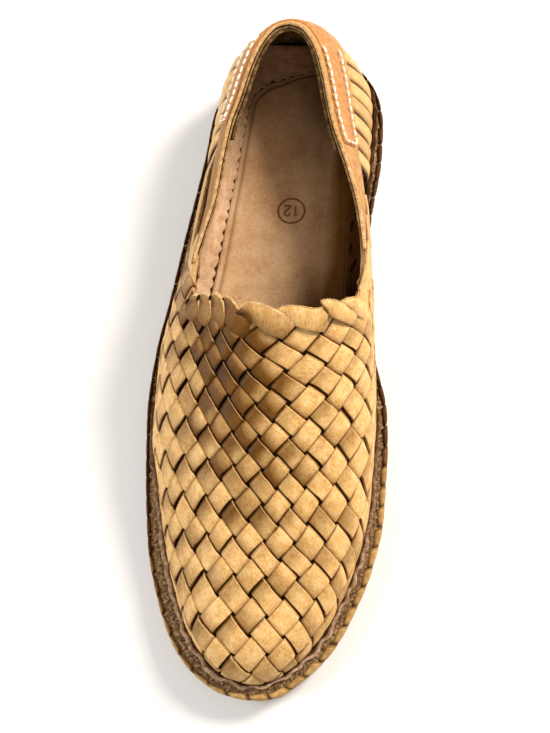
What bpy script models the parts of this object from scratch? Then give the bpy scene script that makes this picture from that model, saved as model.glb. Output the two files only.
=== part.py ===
"""Woven leather slipper, right shoe, standing empty on its sole.

Metres, +Z up. The toe points to -Y, the heel to +Y, and the big-toe side is +X. The origin
lies on the ground under the middle of the shoe. Sizes below are in millimetres, measured
from the toe tip (from_toe), from the centre line to each side (lateral, medial) and up.
"""

import math

import bmesh
import bpy
import numpy as np

MM = 0.001
OBJECT_NAME = "woven_slipper"


def table(columns, *rows):
    """The rows as one array for each named column."""
    return dict(zip(columns.split(), np.array(rows, float).T))


# Driving sizes
LENGTH = 314.0
GAP = 0.3
OUTSOLE_THICKNESS = 4.5
MIDSOLE_THICKNESS = 4.5
INSOLE_THICKNESS = 2.5
WALL_THICKNESS = 2.6
STRAP_THICKNESS = 2.2
HEEL_BREAST = 230.0
OUTSOLE_INSET = 1.0
HEEL_INSET = 1.6
INSOLE_CLEARANCE = 0.8
UPPER_CLEARANCE = 0.55
STRAP_CLEARANCE = 0.6

# The sole's edge in plan
SOLE = table(
    "from_toe lateral medial",
    (0, 0.0, 0.0),
    (2, 13.4, 11.6),
    (6, 21.2, 17.5),
    (12, 29.0, 24.2),
    (24, 38.1, 34.1),
    (40, 45.4, 41.7),
    (60, 51.8, 48.4),
    (84, 55.8, 52.2),
    (108, 58.5, 52.4),
    (132, 60.2, 50.9),
    (156, 58.8, 44.5),
    (180, 55.0, 38.8),
    (204, 51.5, 36.9),
    (228, 47.9, 38.3),
    (258, 44.2, 41.2),
    (274, 43.0, 41.0),
    (288, 39.6, 38.6),
    (301, 32.2, 31.8),
    (309, 22.4, 22.2),
    (314, 0.0, 0.0),
)

# The outsole's underside above the ground: toe spring, flat tread, arch, heel seat
TREAD = table(
    "from_toe lift",
    (0, 6.0),
    (20, 3.4),
    (45, 0.9),
    (72, 0.0),
    (132, 0.0),
    (165, 1.2),
    (195, 3.6),
    (222, 6.0),
    (314, 6.0),
)

# Sections of the last. crest is the height of the top above the sole, at ridge across.
# round_* is the exponent of the arch on each side: 2 is an ellipse, more is squarer.
# tuck_* is how far the wall turns in under its widest line, down at the sole.
LAST = table(
    "from_toe lateral medial crest ridge round_lateral round_medial tuck_lateral tuck_medial",
    (6.1, 0.0, 0.0, 0.0, 0.0, 2.2, 2.2, 1.5, 1.5),
    (9, 12.2, 10.6, 8.0, 0.0, 2.2, 2.2, 1.5, 1.5),
    (14, 18.8, 16.5, 14.0, 0.0, 2.2, 2.2, 1.5, 1.5),
    (24, 27.6, 25.5, 19.5, 0.5, 2.2, 2.3, 1.5, 1.5),
    (40, 35.6, 34.2, 23.5, 1.0, 2.2, 2.3, 1.5, 1.5),
    (62, 43.0, 41.6, 29.0, 1.5, 2.1, 2.3, 1.5, 1.5),
    (88, 49.0, 45.8, 37.0, 2.0, 2.1, 2.3, 1.5, 1.5),
    (118, 54.5, 46.0, 46.5, 2.5, 2.1, 2.4, 1.5, 1.5),
    (146, 54.4, 44.6, 55.0, 2.0, 2.15, 2.6, 1.5, 3.0),
    (170, 50.6, 42.5, 60.5, 1.0, 2.2, 3.1, 1.5, 6.0),
    (190, 47.2, 41.0, 60.0, 0.0, 2.0, 3.8, 2.0, 7.0),
    (219, 43.6, 39.0, 57.0, -0.5, 2.0, 2.65, 2.0, 5.5),
    (254, 39.2, 38.0, 55.0, -3.0, 1.8, 1.5, 1.5, 3.0),
    (285, 36.6, 36.4, 52.0, -3.0, 1.7, 1.5, 1.5, 1.5),
    (302, 25.7, 25.8, 45.0, -1.0, 1.8, 1.8, 1.5, 1.5),
    (309.5, 0.0, 0.0, 0.0, 0.0, 2.0, 2.0, 1.5, 1.5),
)

# Ribs of the upper, from the sole at base up to the throat and the collar at top
RIBS = table(
    "base top top_lateral top_medial top_height",
    (6.1, 162.0, 0.0, 0.0, 70.5),
    (8.5, 162.1, 5.0, 5.0, 70.4),
    (15, 162.4, 10.0, 10.0, 70.0),
    (26, 163.0, 15.0, 15.0, 69.2),
    (42, 163.8, 20.0, 20.0, 67.8),
    (64, 165.0, 25.0, 25.0, 65.7),
    (90, 166.5, 29.5, 29.5, 62.9),
    (116, 168.5, 33.0, 33.2, 59.9),
    (139, 171.3, 35.4, 35.8, 57.2),
    (160, 176.0, 36.7, 37.6, 54.9),
    (180, 185.0, 36.8, 38.9, 53.3),
    (200, 198.0, 34.6, 36.8, 53.0),
    (221, 215.0, 31.0, 33.4, 53.5),
    (243, 234.0, 29.2, 27.2, 54.8),
    (262, 252.0, 26.7, 20.1, 56.6),
    (275, 264.0, 23.3, 16.7, 58.3),
    (287, 275.0, 20.6, 14.0, 60.0),
    (296.5, 285.0, 17.5, 10.9, 61.5),
    (304, 293.0, 13.5, 6.9, 62.5),
    (308.2, 298.3, 8.5, 1.9, 63.0),
    (309.5, 300.0, 3.3, -3.3, 63.0),
)

# The collar strap's width down from the collar, by the collar's place from the toe
STRAP = table(
    "from_toe width",
    (200, 3.0),
    (208, 6.0),
    (219, 10.0),
    (234, 14.0),
    (250, 17.5),
    (272, 19.5),
    (300, 21.0),
)

# Openings in the side wall, behind the waist and under the collar strap
SIDE_GAP_MIDDLE = 231.0
SIDE_GAP_LENGTH = 27.0
SIDE_GAP_HEIGHT = 18.0
SIDE_GAP_MIDDLE_HEIGHT = 15.5
SIDE_GAP_DEPTH = 24.0

# Where the centre line lies across, so that the origin is under the middle
CENTRE_LINE = (SOLE["lateral"].max() - SOLE["medial"].max()) / 2

# A tucked wall turns in over this height, and over this much more for each mm of tuck
TUCK_HEIGHT = 8.0
TUCK_SLOPE = 2.0

# Short steps, as shares of an outline, a strap's length or a strap's width, that give its way
OUTLINE_STEP = 0.004
STRAP_STEP = 0.004
STRAP_WIDTH_STEP = 0.05

# Points of a grid nearer than the first are one point, and edges shorter than the second go
SAME_POINT = 0.02
SHORT_EDGE = 0.01

PLATE_STATIONS = 36
PLATE_STRIPS = 6
RIBS_EACH_SIDE = 34
RIB_STEPS = 18
RIB_SAMPLES = 160
RIB_CROWDING = 4
STRAP_STATIONS = 48
STRAP_STRIPS = 4

# Colour, roughness of each piece
FINISHES = {
    "outsole": ((0.30, 0.15, 0.06), 0.6),
    "heel_lift": ((0.16, 0.08, 0.04), 0.6),
    "midsole": ((0.22, 0.12, 0.06), 0.8),
    "insole": ((0.42, 0.24, 0.13), 0.55),
    "upper": ((0.62, 0.36, 0.13), 0.45),
    "collar_strap": ((0.60, 0.35, 0.15), 0.5),
}


def spline(knots, values, at):
    """A smooth curve through the values that never swings past them between two knots."""
    step = np.diff(knots)
    slope = np.diff(values) / step
    pair = slope[:-1] * slope[1:]
    tangent = np.empty(len(knots))
    tangent[0], tangent[-1] = slope[0], slope[-1]
    tangent[1:-1] = np.where(pair > 0, 2 * pair / (slope[:-1] + slope[1:] + (pair <= 0)), 0)
    span = np.clip(np.searchsorted(knots, at, side="right") - 1, 0, len(step) - 1)
    part = (at - knots[span]) / step[span]
    rise = values[span] + (values[span + 1] - values[span]) * part**2 * (3 - 2 * part)
    bend = tangent[span] * part * (1 - part) ** 2 - tangent[span + 1] * part**2 * (1 - part)
    return rise + bend * step[span]


def spread(rows, from_toe):
    """0 to 1 from the first row to the last, stretched so that round ends come out round."""
    first, last = rows["from_toe"][0], rows["from_toe"][-1]
    share = np.clip((from_toe - first) / (last - first), 0, 1)
    return np.arccos(1 - 2 * share) / math.pi


def read(rows, column, from_toe):
    """One column of a table at any distance from the toe."""
    return spline(spread(rows, rows["from_toe"]), rows[column], spread(rows, from_toe))


def place(across, from_toe, height):
    """Points in metres in the object's frame."""
    return np.stack([across + CENTRE_LINE, from_toe - LENGTH / 2, height], axis=-1) * MM


def side_name(side):
    return "medial" if side > 0 else "lateral"


def edge(rows, from_toe, side, inset):
    """(across, from_toe) of an outline's edge, moved in by inset square to the edge."""
    first, last = rows["from_toe"][0], rows["from_toe"][-1]
    reach = spread(rows, from_toe)
    ahead = np.minimum(reach + OUTLINE_STEP, 1)
    behind = np.maximum(reach - OUTLINE_STEP, 0)
    spots = [first + (last - first) * (1 - np.cos(math.pi * r)) / 2 for r in (behind, ahead)]
    widths = [read(rows, side_name(side), spot) for spot in spots]
    run, rise = spots[1] - spots[0], widths[1] - widths[0]
    length = np.hypot(run, rise)
    width = read(rows, side_name(side), from_toe) - inset * run / length
    return side * np.maximum(width, 0), from_toe + inset * rise / length


def tread(from_toe):
    """Height of the outsole's underside above the ground."""
    return spline(TREAD["from_toe"], TREAD["lift"], from_toe)


def seat(from_toe):
    """Height of the midsole's top, where the upper and the insole stand."""
    return tread(from_toe) + OUTSOLE_THICKNESS + GAP + MIDSOLE_THICKNESS


def arch(across, from_toe):
    """Height of the upper's outer face above the seat, over a point of the plan."""
    ridge = read(LAST, "ridge", from_toe)
    medial = across > ridge
    lateral_half, medial_half = (read(LAST, name, from_toe) for name in ("lateral", "medial"))
    half = np.where(medial, medial_half - ridge, lateral_half + ridge)
    power = np.where(
        medial, read(LAST, "round_medial", from_toe), read(LAST, "round_lateral", from_toe)
    )
    share = np.clip(np.abs(across - ridge) / np.maximum(half, 1e-6), 0, 1)
    return read(LAST, "crest", from_toe) * (1 - share**power) ** (1 / power)


def rib(place_round):
    """A rib's points in millimetres from the sole to the top edge, crowded at the sole, and
    how far along the rib each one is.

    place_round runs from -1, the middle of the heel, by the lateral side to 0, the middle
    of the toe, and by the medial side to 1, the middle of the heel again.
    """
    side = 1 if place_round >= 0 else -1
    rows = np.linspace(0, 1, len(RIBS["base"]))
    along = np.array([abs(place_round)])
    reach = spline(rows, spread(LAST, RIBS["base"]), along)[0]
    first, last = LAST["from_toe"][0], LAST["from_toe"][-1]
    base_toe = first + (last - first) * (1 - math.cos(math.pi * reach)) / 2
    base_across, _ = edge(LAST, np.array([base_toe]), side, 0.0)
    top_toe = spline(rows, RIBS["top"], along)[0]
    top_across = side * spline(rows, RIBS["top_" + side_name(side)], along)[0]

    share = np.linspace(0, 1, RIB_SAMPLES) ** RIB_CROWDING
    across = base_across[0] + (top_across - base_across[0]) * share
    from_toe = base_toe + (top_toe - base_toe) * share
    rise = arch(across, from_toe)
    top_height = spline(rows, RIBS["top_height"], along)[0]
    rise *= (top_height - seat(top_toe) - UPPER_CLEARANCE) / rise[-1]
    tuck = read(LAST, "tuck_" + side_name(side), np.array([base_toe]))[0]
    inner_across, inner_toe = edge(LAST, np.array([base_toe]), side, tuck)
    turn = np.clip(1 - rise / (TUCK_HEIGHT + TUCK_SLOPE * tuck), 0, 1) ** 2
    across = across + turn * (inner_across[0] - base_across[0])
    from_toe = from_toe + turn * (inner_toe[0] - base_toe)
    height = seat(from_toe) + UPPER_CLEARANCE + rise

    points = np.stack([across, from_toe, height], axis=-1)
    walked = np.concatenate([[0], np.cumsum(np.linalg.norm(np.diff(points, axis=0), axis=1))])
    return points, walked


def on_rib(place_round, from_base=None, from_top=None):
    """Points on a rib at distances in millimetres from its base or down from its top."""
    points, walked = rib(place_round)
    wanted = from_base if from_top is None else walked[-1] - from_top
    return np.stack([np.interp(wanted, walked, points[:, axis]) for axis in range(3)], axis=-1)


def new_object(name, mesh_builder, collection):
    """An object whose mesh is filled by mesh_builder, with its own finish."""
    mesh = bpy.data.meshes.new(name)
    shape = bmesh.new()
    mesh_builder(shape)
    shape.to_mesh(mesh)
    shape.free()
    item = bpy.data.objects.new(name, mesh)
    collection.objects.link(item)
    if name in FINISHES:
        colour, roughness = FINISHES[name]
        material = bpy.data.materials.new(name)
        material.use_nodes = True
        shader = material.node_tree.nodes["Principled BSDF"]
        shader.inputs["Base Color"].default_value = (*colour, 1.0)
        shader.inputs["Roughness"].default_value = roughness
        mesh.materials.append(material)
    return item


def sheet(name, columns, rows, spot, collection):
    """An open surface: a grid whose points are put at spot(column, row)."""

    def build(shape):
        bmesh.ops.create_grid(shape, x_segments=columns, y_segments=rows, size=1.0)
        for vertex in shape.verts:
            share_x, share_y = (vertex.co.x + 1) / 2, (vertex.co.y + 1) / 2
            vertex.co = spot(round(share_x * columns), round(share_y * rows))
        bmesh.ops.remove_doubles(shape, verts=shape.verts, dist=SAME_POINT * MM)
        bmesh.ops.dissolve_degenerate(shape, edges=shape.edges, dist=SHORT_EDGE * MM)

    return new_object(name, build, collection)


def thicken(item, thickness, offset):
    """Gives an open surface its thickness: offset 1 along its normals, -1 against them."""
    solid = item.modifiers.new("thickness", "SOLIDIFY")
    solid.thickness = thickness * MM
    solid.offset = offset
    solid.use_rim = True


def finish_smooth(item, angle):
    """Smooth shading that keeps the edges sharper than angle degrees."""
    item.data.shade_smooth()
    item.data.set_sharp_from_angle(angle=math.radians(angle))


def plate(name, outline, first, inset, bottom, thickness, collection):
    """A sole layer: an outline from first to its end, with its underside at bottom."""
    start, end = outline["from_toe"][0], outline["from_toe"][-1]

    def station(column):
        share = column / PLATE_STATIONS
        if first > start:
            return first + (end - first) * math.sin(math.pi * share / 2)
        return start + (end - start) * (1 - math.cos(math.pi * share)) / 2

    edges = []
    for column in range(PLATE_STATIONS + 1):
        from_toe = np.array([station(column)])
        edges.append([np.concatenate(edge(outline, from_toe, side, inset)) for side in (-1, 1)])

    def spot(column, row):
        lateral, medial = edges[column]
        across, from_toe = lateral + (medial - lateral) * row / PLATE_STRIPS
        return place(across, from_toe, bottom(np.array([from_toe]))[0])

    item = sheet(name, PLATE_STATIONS, PLATE_STRIPS, spot, collection)
    thicken(item, thickness, -1)
    return item


def make_outsole(collection):
    return plate(
        "outsole", SOLE, 0.0, OUTSOLE_INSET,
        tread, OUTSOLE_THICKNESS, collection,
    )


def make_heel_lift(collection):
    return plate(
        "heel_lift", SOLE, HEEL_BREAST, HEEL_INSET,
        lambda from_toe: 0 * from_toe, TREAD["lift"][-1] - GAP, collection,
    )


def make_midsole(collection):
    return plate(
        "midsole", SOLE, 0.0, 0.0,
        lambda from_toe: tread(from_toe) + OUTSOLE_THICKNESS + GAP,
        MIDSOLE_THICKNESS, collection,
    )


def make_insole(collection):
    inset = LAST["tuck_lateral"].min() + WALL_THICKNESS + INSOLE_CLEARANCE
    tucked = dict(LAST)
    for side in ("lateral", "medial"):
        extra = LAST["tuck_" + side] - LAST["tuck_lateral"].min()
        tucked[side] = LAST[side] - extra
    return plate(
        "insole", tucked, 0.0, inset,
        lambda from_toe: seat(from_toe) + GAP, INSOLE_THICKNESS, collection,
    )


def make_upper(collection, cutters):
    """One hollow wall, open at the throat, the collar, the two side gaps and underneath."""
    ribs = []
    for column in range(2 * RIBS_EACH_SIDE + 1):
        place_round = column / RIBS_EACH_SIDE - 1
        _, walked = rib(place_round)
        ribs.append(on_rib(place_round, from_base=np.linspace(0, walked[-1], RIB_STEPS + 1)))

    def spot(column, row):
        return place(*ribs[column][row])

    item = sheet("upper", 2 * RIBS_EACH_SIDE, RIB_STEPS, spot, collection)
    thicken(item, WALL_THICKNESS, -1)
    for side in (-1, 1):
        cut = item.modifiers.new("side_gap_" + side_name(side), "BOOLEAN")
        cut.operation = "DIFFERENCE"
        cut.object = make_gap_cutter(side, cutters)
    finish_smooth(item, 50)
    return item


def make_gap_cutter(side, cutters):
    """A long round lens through one side wall."""
    across, from_toe = (
        value[0] for value in edge(LAST, np.array([SIDE_GAP_MIDDLE]), side, WALL_THICKNESS)
    )
    height = seat(np.array([from_toe]))[0] + SIDE_GAP_MIDDLE_HEIGHT

    def build(shape):
        bmesh.ops.create_uvsphere(shape, u_segments=20, v_segments=10, radius=0.5 * MM)
        size = (SIDE_GAP_DEPTH, SIDE_GAP_LENGTH, SIDE_GAP_HEIGHT)
        bmesh.ops.scale(shape, vec=size, verts=shape.verts)
        bmesh.ops.translate(shape, vec=place(across, from_toe, height), verts=shape.verts)

    item = new_object("cutter_gap_" + side_name(side), build, cutters)
    item.hide_render = True
    item.display_type = "WIRE"
    return item


def make_collar_strap(collection):
    """A plain strap that stands proud round the collar, from one waist over the heel."""
    rows = np.linspace(0, 1, len(RIBS["top"]))
    dense = np.linspace(0, 1, 400)
    start = dense[np.argmax(spline(rows, RIBS["top"], dense) >= STRAP["from_toe"][0])]

    def point(place_round, share):
        top = spline(rows, RIBS["top"], np.array([abs(place_round)]))
        width = np.interp(top, STRAP["from_toe"], STRAP["width"])
        return on_rib(place_round, from_top=share * width)[0]

    def spot(column, row):
        turn = 2 * column / STRAP_STATIONS - 1
        place_round = (1 - abs(turn) * (1 - start)) * (-1 if turn < 0 else 1)
        share = row / STRAP_STRIPS
        here = point(place_round, share)
        ahead = point(np.clip(place_round + STRAP_STEP, -1, 1), share)
        behind = point(np.clip(place_round - STRAP_STEP, -1, 1), share)
        lower = point(place_round, share + STRAP_WIDTH_STEP)
        upper = point(place_round, max(share - STRAP_WIDTH_STEP, 0))
        normal = np.cross(ahead - behind, lower - upper)
        normal *= np.sign(normal @ (here - np.array([0, LAST["from_toe"].mean(), here[2]])))
        return place(*(here + STRAP_CLEARANCE * normal / np.linalg.norm(normal)))

    item = sheet("collar_strap", STRAP_STATIONS, STRAP_STRIPS, spot, collection)
    thicken(item, STRAP_THICKNESS, 1)
    finish_smooth(item, 50)
    return item


def new_collection(name):
    collection = bpy.data.collections.new(name)
    bpy.context.scene.collection.children.link(collection)
    return collection


def main():
    for item in list(bpy.data.objects):
        bpy.data.objects.remove(item, do_unlink=True)
    collection = new_collection(OBJECT_NAME)
    cutters = new_collection("cutters")
    for maker in (make_outsole, make_heel_lift, make_midsole, make_insole):
        finish_smooth(maker(collection), 40)
    make_upper(collection, cutters)
    make_collar_strap(collection)


main()
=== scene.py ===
"""Woven leather slipper, right shoe, standing empty on its sole: its finished surfaces.

Shapes are worked out in millimetres in the shoe's own measures: across from the centre
line, with the medial side plus, from_toe along it, and height above the ground.
place() turns them to metres in the model's frame, toe to -Y.
"""
import math

import bpy
import numpy as np
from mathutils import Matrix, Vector
from mathutils.bvhtree import BVHTree


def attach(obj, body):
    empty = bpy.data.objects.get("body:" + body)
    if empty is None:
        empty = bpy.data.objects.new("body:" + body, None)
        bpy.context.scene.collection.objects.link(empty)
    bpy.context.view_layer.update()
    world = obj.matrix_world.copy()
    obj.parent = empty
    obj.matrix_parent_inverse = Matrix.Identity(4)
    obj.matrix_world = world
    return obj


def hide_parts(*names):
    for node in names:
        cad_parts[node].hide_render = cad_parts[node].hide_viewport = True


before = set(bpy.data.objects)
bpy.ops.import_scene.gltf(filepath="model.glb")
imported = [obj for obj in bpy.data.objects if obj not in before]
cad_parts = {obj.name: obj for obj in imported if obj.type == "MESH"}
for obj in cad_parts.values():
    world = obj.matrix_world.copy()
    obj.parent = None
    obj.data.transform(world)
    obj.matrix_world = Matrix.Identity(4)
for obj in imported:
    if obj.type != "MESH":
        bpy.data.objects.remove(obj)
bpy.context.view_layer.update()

MM = 0.001
WELD_DISTANCE = 0.02
UP = np.array([0.0, 0.0, 1.0])
rng = np.random.default_rng(12)


def table(columns, *rows):
    """The rows as one array for each named column."""
    return dict(zip(columns.split(), np.array(rows, float).T))


def ramp(value, start, end):
    """0 at start and before it, 1 at end and past it, and even between them."""
    return np.clip((value - start) / (end - start), 0, 1)


def mix(first, second, part):
    return first * (1 - part) + second * part


def unit(vectors):
    return vectors / np.maximum(np.linalg.norm(vectors, axis=-1, keepdims=True), 1e-9)


def walked_along(points):
    """The distance from the first point to each one along the line through them."""
    return np.r_[0, np.cumsum(np.linalg.norm(np.diff(points, axis=0), axis=1))]


def line_at(distance, walked, points):
    """Spots on the line through the points, at distances walked along it."""
    return np.stack([np.interp(distance, walked, column) for column in points.T], -1)


# ---------------------------------------------------------------- the shoe's measures
LENGTH = 314.0
GAP = 0.3
OUTSOLE_THICKNESS = 4.5
MIDSOLE_THICKNESS = 4.5
WALL_THICKNESS = 2.6
INSOLE_CLEARANCE = 0.8
UPPER_CLEARANCE = 0.55

SOLE = table(
    "from_toe lateral medial",
    (0, 0.0, 0.0), (2, 13.4, 11.6), (6, 21.2, 17.5), (12, 29.0, 24.2), (24, 38.1, 34.1),
    (40, 45.4, 41.7), (60, 51.8, 48.4), (84, 55.8, 52.2), (108, 58.5, 52.4),
    (132, 60.2, 50.9), (156, 58.8, 44.5), (180, 55.0, 38.8), (204, 51.5, 36.9),
    (228, 47.9, 38.3), (258, 44.2, 41.2), (274, 43.0, 41.0), (288, 39.6, 38.6),
    (301, 32.2, 31.8), (309, 22.4, 22.2), (314, 0.0, 0.0),
)
TREAD = table(
    "from_toe lift",
    (0, 6.0), (20, 3.4), (45, 0.9), (72, 0.0), (132, 0.0), (165, 1.2), (195, 3.6),
    (222, 6.0), (314, 6.0),
)
LAST = table(
    "from_toe lateral medial crest ridge round_lateral round_medial tuck_lateral tuck_medial",
    (6.1, 0.0, 0.0, 0.0, 0.0, 2.2, 2.2, 1.5, 1.5),
    (9, 12.2, 10.6, 8.0, 0.0, 2.2, 2.2, 1.5, 1.5),
    (14, 18.8, 16.5, 14.0, 0.0, 2.2, 2.2, 1.5, 1.5),
    (24, 27.6, 25.5, 19.5, 0.5, 2.2, 2.3, 1.5, 1.5),
    (40, 35.6, 34.2, 23.5, 1.0, 2.2, 2.3, 1.5, 1.5),
    (62, 43.0, 41.6, 29.0, 1.5, 2.1, 2.3, 1.5, 1.5),
    (88, 49.0, 45.8, 37.0, 2.0, 2.1, 2.3, 1.5, 1.5),
    (118, 54.5, 46.0, 46.5, 2.5, 2.1, 2.4, 1.5, 1.5),
    (146, 54.4, 44.6, 55.0, 2.0, 2.15, 2.6, 1.5, 3.0),
    (170, 50.6, 42.5, 60.5, 1.0, 2.2, 3.1, 1.5, 6.0),
    (190, 47.2, 41.0, 60.0, 0.0, 2.0, 3.8, 2.0, 7.0),
    (219, 43.6, 39.0, 57.0, -0.5, 2.0, 2.65, 2.0, 5.5),
    (254, 39.2, 38.0, 55.0, -3.0, 1.8, 1.5, 1.5, 3.0),
    (285, 36.6, 36.4, 52.0, -3.0, 1.7, 1.5, 1.5, 1.5),
    (302, 25.7, 25.8, 45.0, -1.0, 1.8, 1.8, 1.5, 1.5),
    (309.5, 0.0, 0.0, 0.0, 0.0, 2.0, 2.0, 1.5, 1.5),
)
RIBS = table(
    "base top top_lateral top_medial top_height",
    (6.1, 162.0, 0.0, 0.0, 70.5), (8.5, 162.1, 5.0, 5.0, 70.4), (15, 162.4, 10.0, 10.0, 70.0),
    (26, 163.0, 15.0, 15.0, 69.2), (42, 163.8, 20.0, 20.0, 67.8), (64, 165.0, 25.0, 25.0, 65.7),
    (90, 166.5, 29.5, 29.5, 62.9), (116, 168.5, 33.0, 33.2, 59.9),
    (139, 171.3, 35.4, 35.8, 57.2), (160, 176.0, 36.7, 37.6, 54.9),
    (180, 185.0, 36.8, 38.9, 53.3), (200, 198.0, 34.6, 36.8, 53.0),
    (221, 215.0, 31.0, 33.4, 53.5), (243, 234.0, 29.2, 27.2, 54.8),
    (262, 252.0, 26.7, 20.1, 56.6), (275, 264.0, 23.3, 16.7, 58.3),
    (287, 275.0, 20.6, 14.0, 60.0), (296.5, 285.0, 17.5, 10.9, 61.5),
    (304, 293.0, 13.5, 6.9, 62.5), (308.2, 298.3, 8.5, 1.9, 63.0),
    (309.5, 300.0, 3.3, -3.3, 63.0),
)
CENTRE_LINE = (SOLE["lateral"].max() - SOLE["medial"].max()) / 2


def spline(knots, values, at):
    """A smooth curve through the values that never swings past them between two knots."""
    step = np.diff(knots)
    slope = np.diff(values) / step
    pair = slope[:-1] * slope[1:]
    tangent = np.empty(len(knots))
    tangent[0], tangent[-1] = slope[0], slope[-1]
    tangent[1:-1] = np.where(pair > 0, 2 * pair / (slope[:-1] + slope[1:] + (pair <= 0)), 0)
    span = np.clip(np.searchsorted(knots, at, side="right") - 1, 0, len(step) - 1)
    part = (at - knots[span]) / step[span]
    rise = values[span] + (values[span + 1] - values[span]) * part**2 * (3 - 2 * part)
    bend = tangent[span] * part * (1 - part) ** 2 - tangent[span + 1] * part**2 * (1 - part)
    return rise + bend * step[span]


def spread(rows, from_toe):
    """0 to 1 from the first row to the last, stretched so that round ends come out round."""
    first, last = rows["from_toe"][0], rows["from_toe"][-1]
    return np.arccos(1 - 2 * ramp(from_toe, first, last)) / math.pi


def unspread(rows, reach):
    """The distance from the toe at which spread() gives this reach."""
    first, last = rows["from_toe"][0], rows["from_toe"][-1]
    return first + (last - first) * (1 - np.cos(math.pi * reach)) / 2


def read(rows, column, from_toe):
    """One column of a table at any distance from the toe."""
    return spline(spread(rows, rows["from_toe"]), rows[column], spread(rows, from_toe))


def place(points):
    """Points in metres in the model's frame, from (across, from_toe, height) in millimetres."""
    return (np.asarray(points) + (CENTRE_LINE, -LENGTH / 2, 0.0)) * MM


def side_name(side):
    return "medial" if side > 0 else "lateral"


def edge(rows, from_toe, side, inset):
    """(across, from_toe) of an outline's edge, moved in by inset square to the edge."""
    reach = spread(rows, from_toe)
    spots = [unspread(rows, np.clip(reach + step, 0, 1)) for step in (-0.004, 0.004)]
    widths = [read(rows, side_name(side), spot) for spot in spots]
    run, rise = spots[1] - spots[0], widths[1] - widths[0]
    length = np.hypot(run, rise)
    width = read(rows, side_name(side), from_toe) - inset * run / length
    return side * np.maximum(width, 0), from_toe + inset * rise / length


def tread(from_toe):
    """Height of the outsole's underside above the ground."""
    return spline(TREAD["from_toe"], TREAD["lift"], from_toe)


def seat(from_toe):
    """Height of the midsole's top, where the upper and the insole stand."""
    return tread(from_toe) + OUTSOLE_THICKNESS + GAP + MIDSOLE_THICKNESS


def arch(across, from_toe):
    """Height of the upper's outer face above the seat, over a point of the plan."""
    ridge = read(LAST, "ridge", from_toe)
    medial = across > ridge
    lateral_half, medial_half = (read(LAST, name, from_toe) for name in ("lateral", "medial"))
    half = np.where(medial, medial_half - ridge, lateral_half + ridge)
    power = np.where(
        medial, read(LAST, "round_medial", from_toe), read(LAST, "round_lateral", from_toe)
    )
    share = np.clip(np.abs(across - ridge) / np.maximum(half, 1e-6), 0, 1)
    return read(LAST, "crest", from_toe) * (1 - share**power) ** (1 / power)


def rib(place_round):
    """Points on the upper's outer face from the sole to the top edge, and the way walked.

    place_round runs from -1, the middle of the heel, by the lateral side to 0, the middle
    of the toe, and by the medial side to 1, the middle of the heel again.
    """
    side = 1 if place_round >= 0 else -1
    rows = np.linspace(0, 1, len(RIBS["base"]))
    along = np.array([abs(place_round)])
    reach = spline(rows, spread(LAST, RIBS["base"]), along)[0]
    base_toe = unspread(LAST, reach)
    base_across, _ = edge(LAST, np.array([base_toe]), side, 0.0)
    top_toe = spline(rows, RIBS["top"], along)[0]
    top_across = side * spline(rows, RIBS["top_" + side_name(side)], along)[0]

    share = np.linspace(0, 1, 160) ** 4
    across = base_across[0] + (top_across - base_across[0]) * share
    from_toe = base_toe + (top_toe - base_toe) * share
    rise = arch(across, from_toe)
    top_height = spline(rows, RIBS["top_height"], along)[0]
    rise *= (top_height - seat(top_toe) - UPPER_CLEARANCE) / rise[-1]
    tuck = read(LAST, "tuck_" + side_name(side), np.array([base_toe]))[0]
    inner_across, inner_toe = edge(LAST, np.array([base_toe]), side, tuck)
    turn = np.clip(1 - rise / (8 + 2 * tuck), 0, 1) ** 2
    across = across + turn * (inner_across[0] - base_across[0])
    from_toe = from_toe + turn * (inner_toe[0] - base_toe)
    points = np.stack([across, from_toe, seat(from_toe) + UPPER_CLEARANCE + rise], axis=-1)
    return points, walked_along(points)


# ---------------------------------------------------------------- the last as a surface
FORM_RIBS = 401
FORM_LEVELS = 72
BELOW = np.array([-16.0, -12.0, -8.0, -5.0, -2.5, -1.0])
ABOVE = np.array([1.5, 3.0, 4.5, 6.0, 7.5, 9.0, 11.0, 14.0])
HEM_DEPTH = 1.6
ROLL_RADIUS, ROLL_BEND = 1.9, math.pi * 0.75


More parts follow.
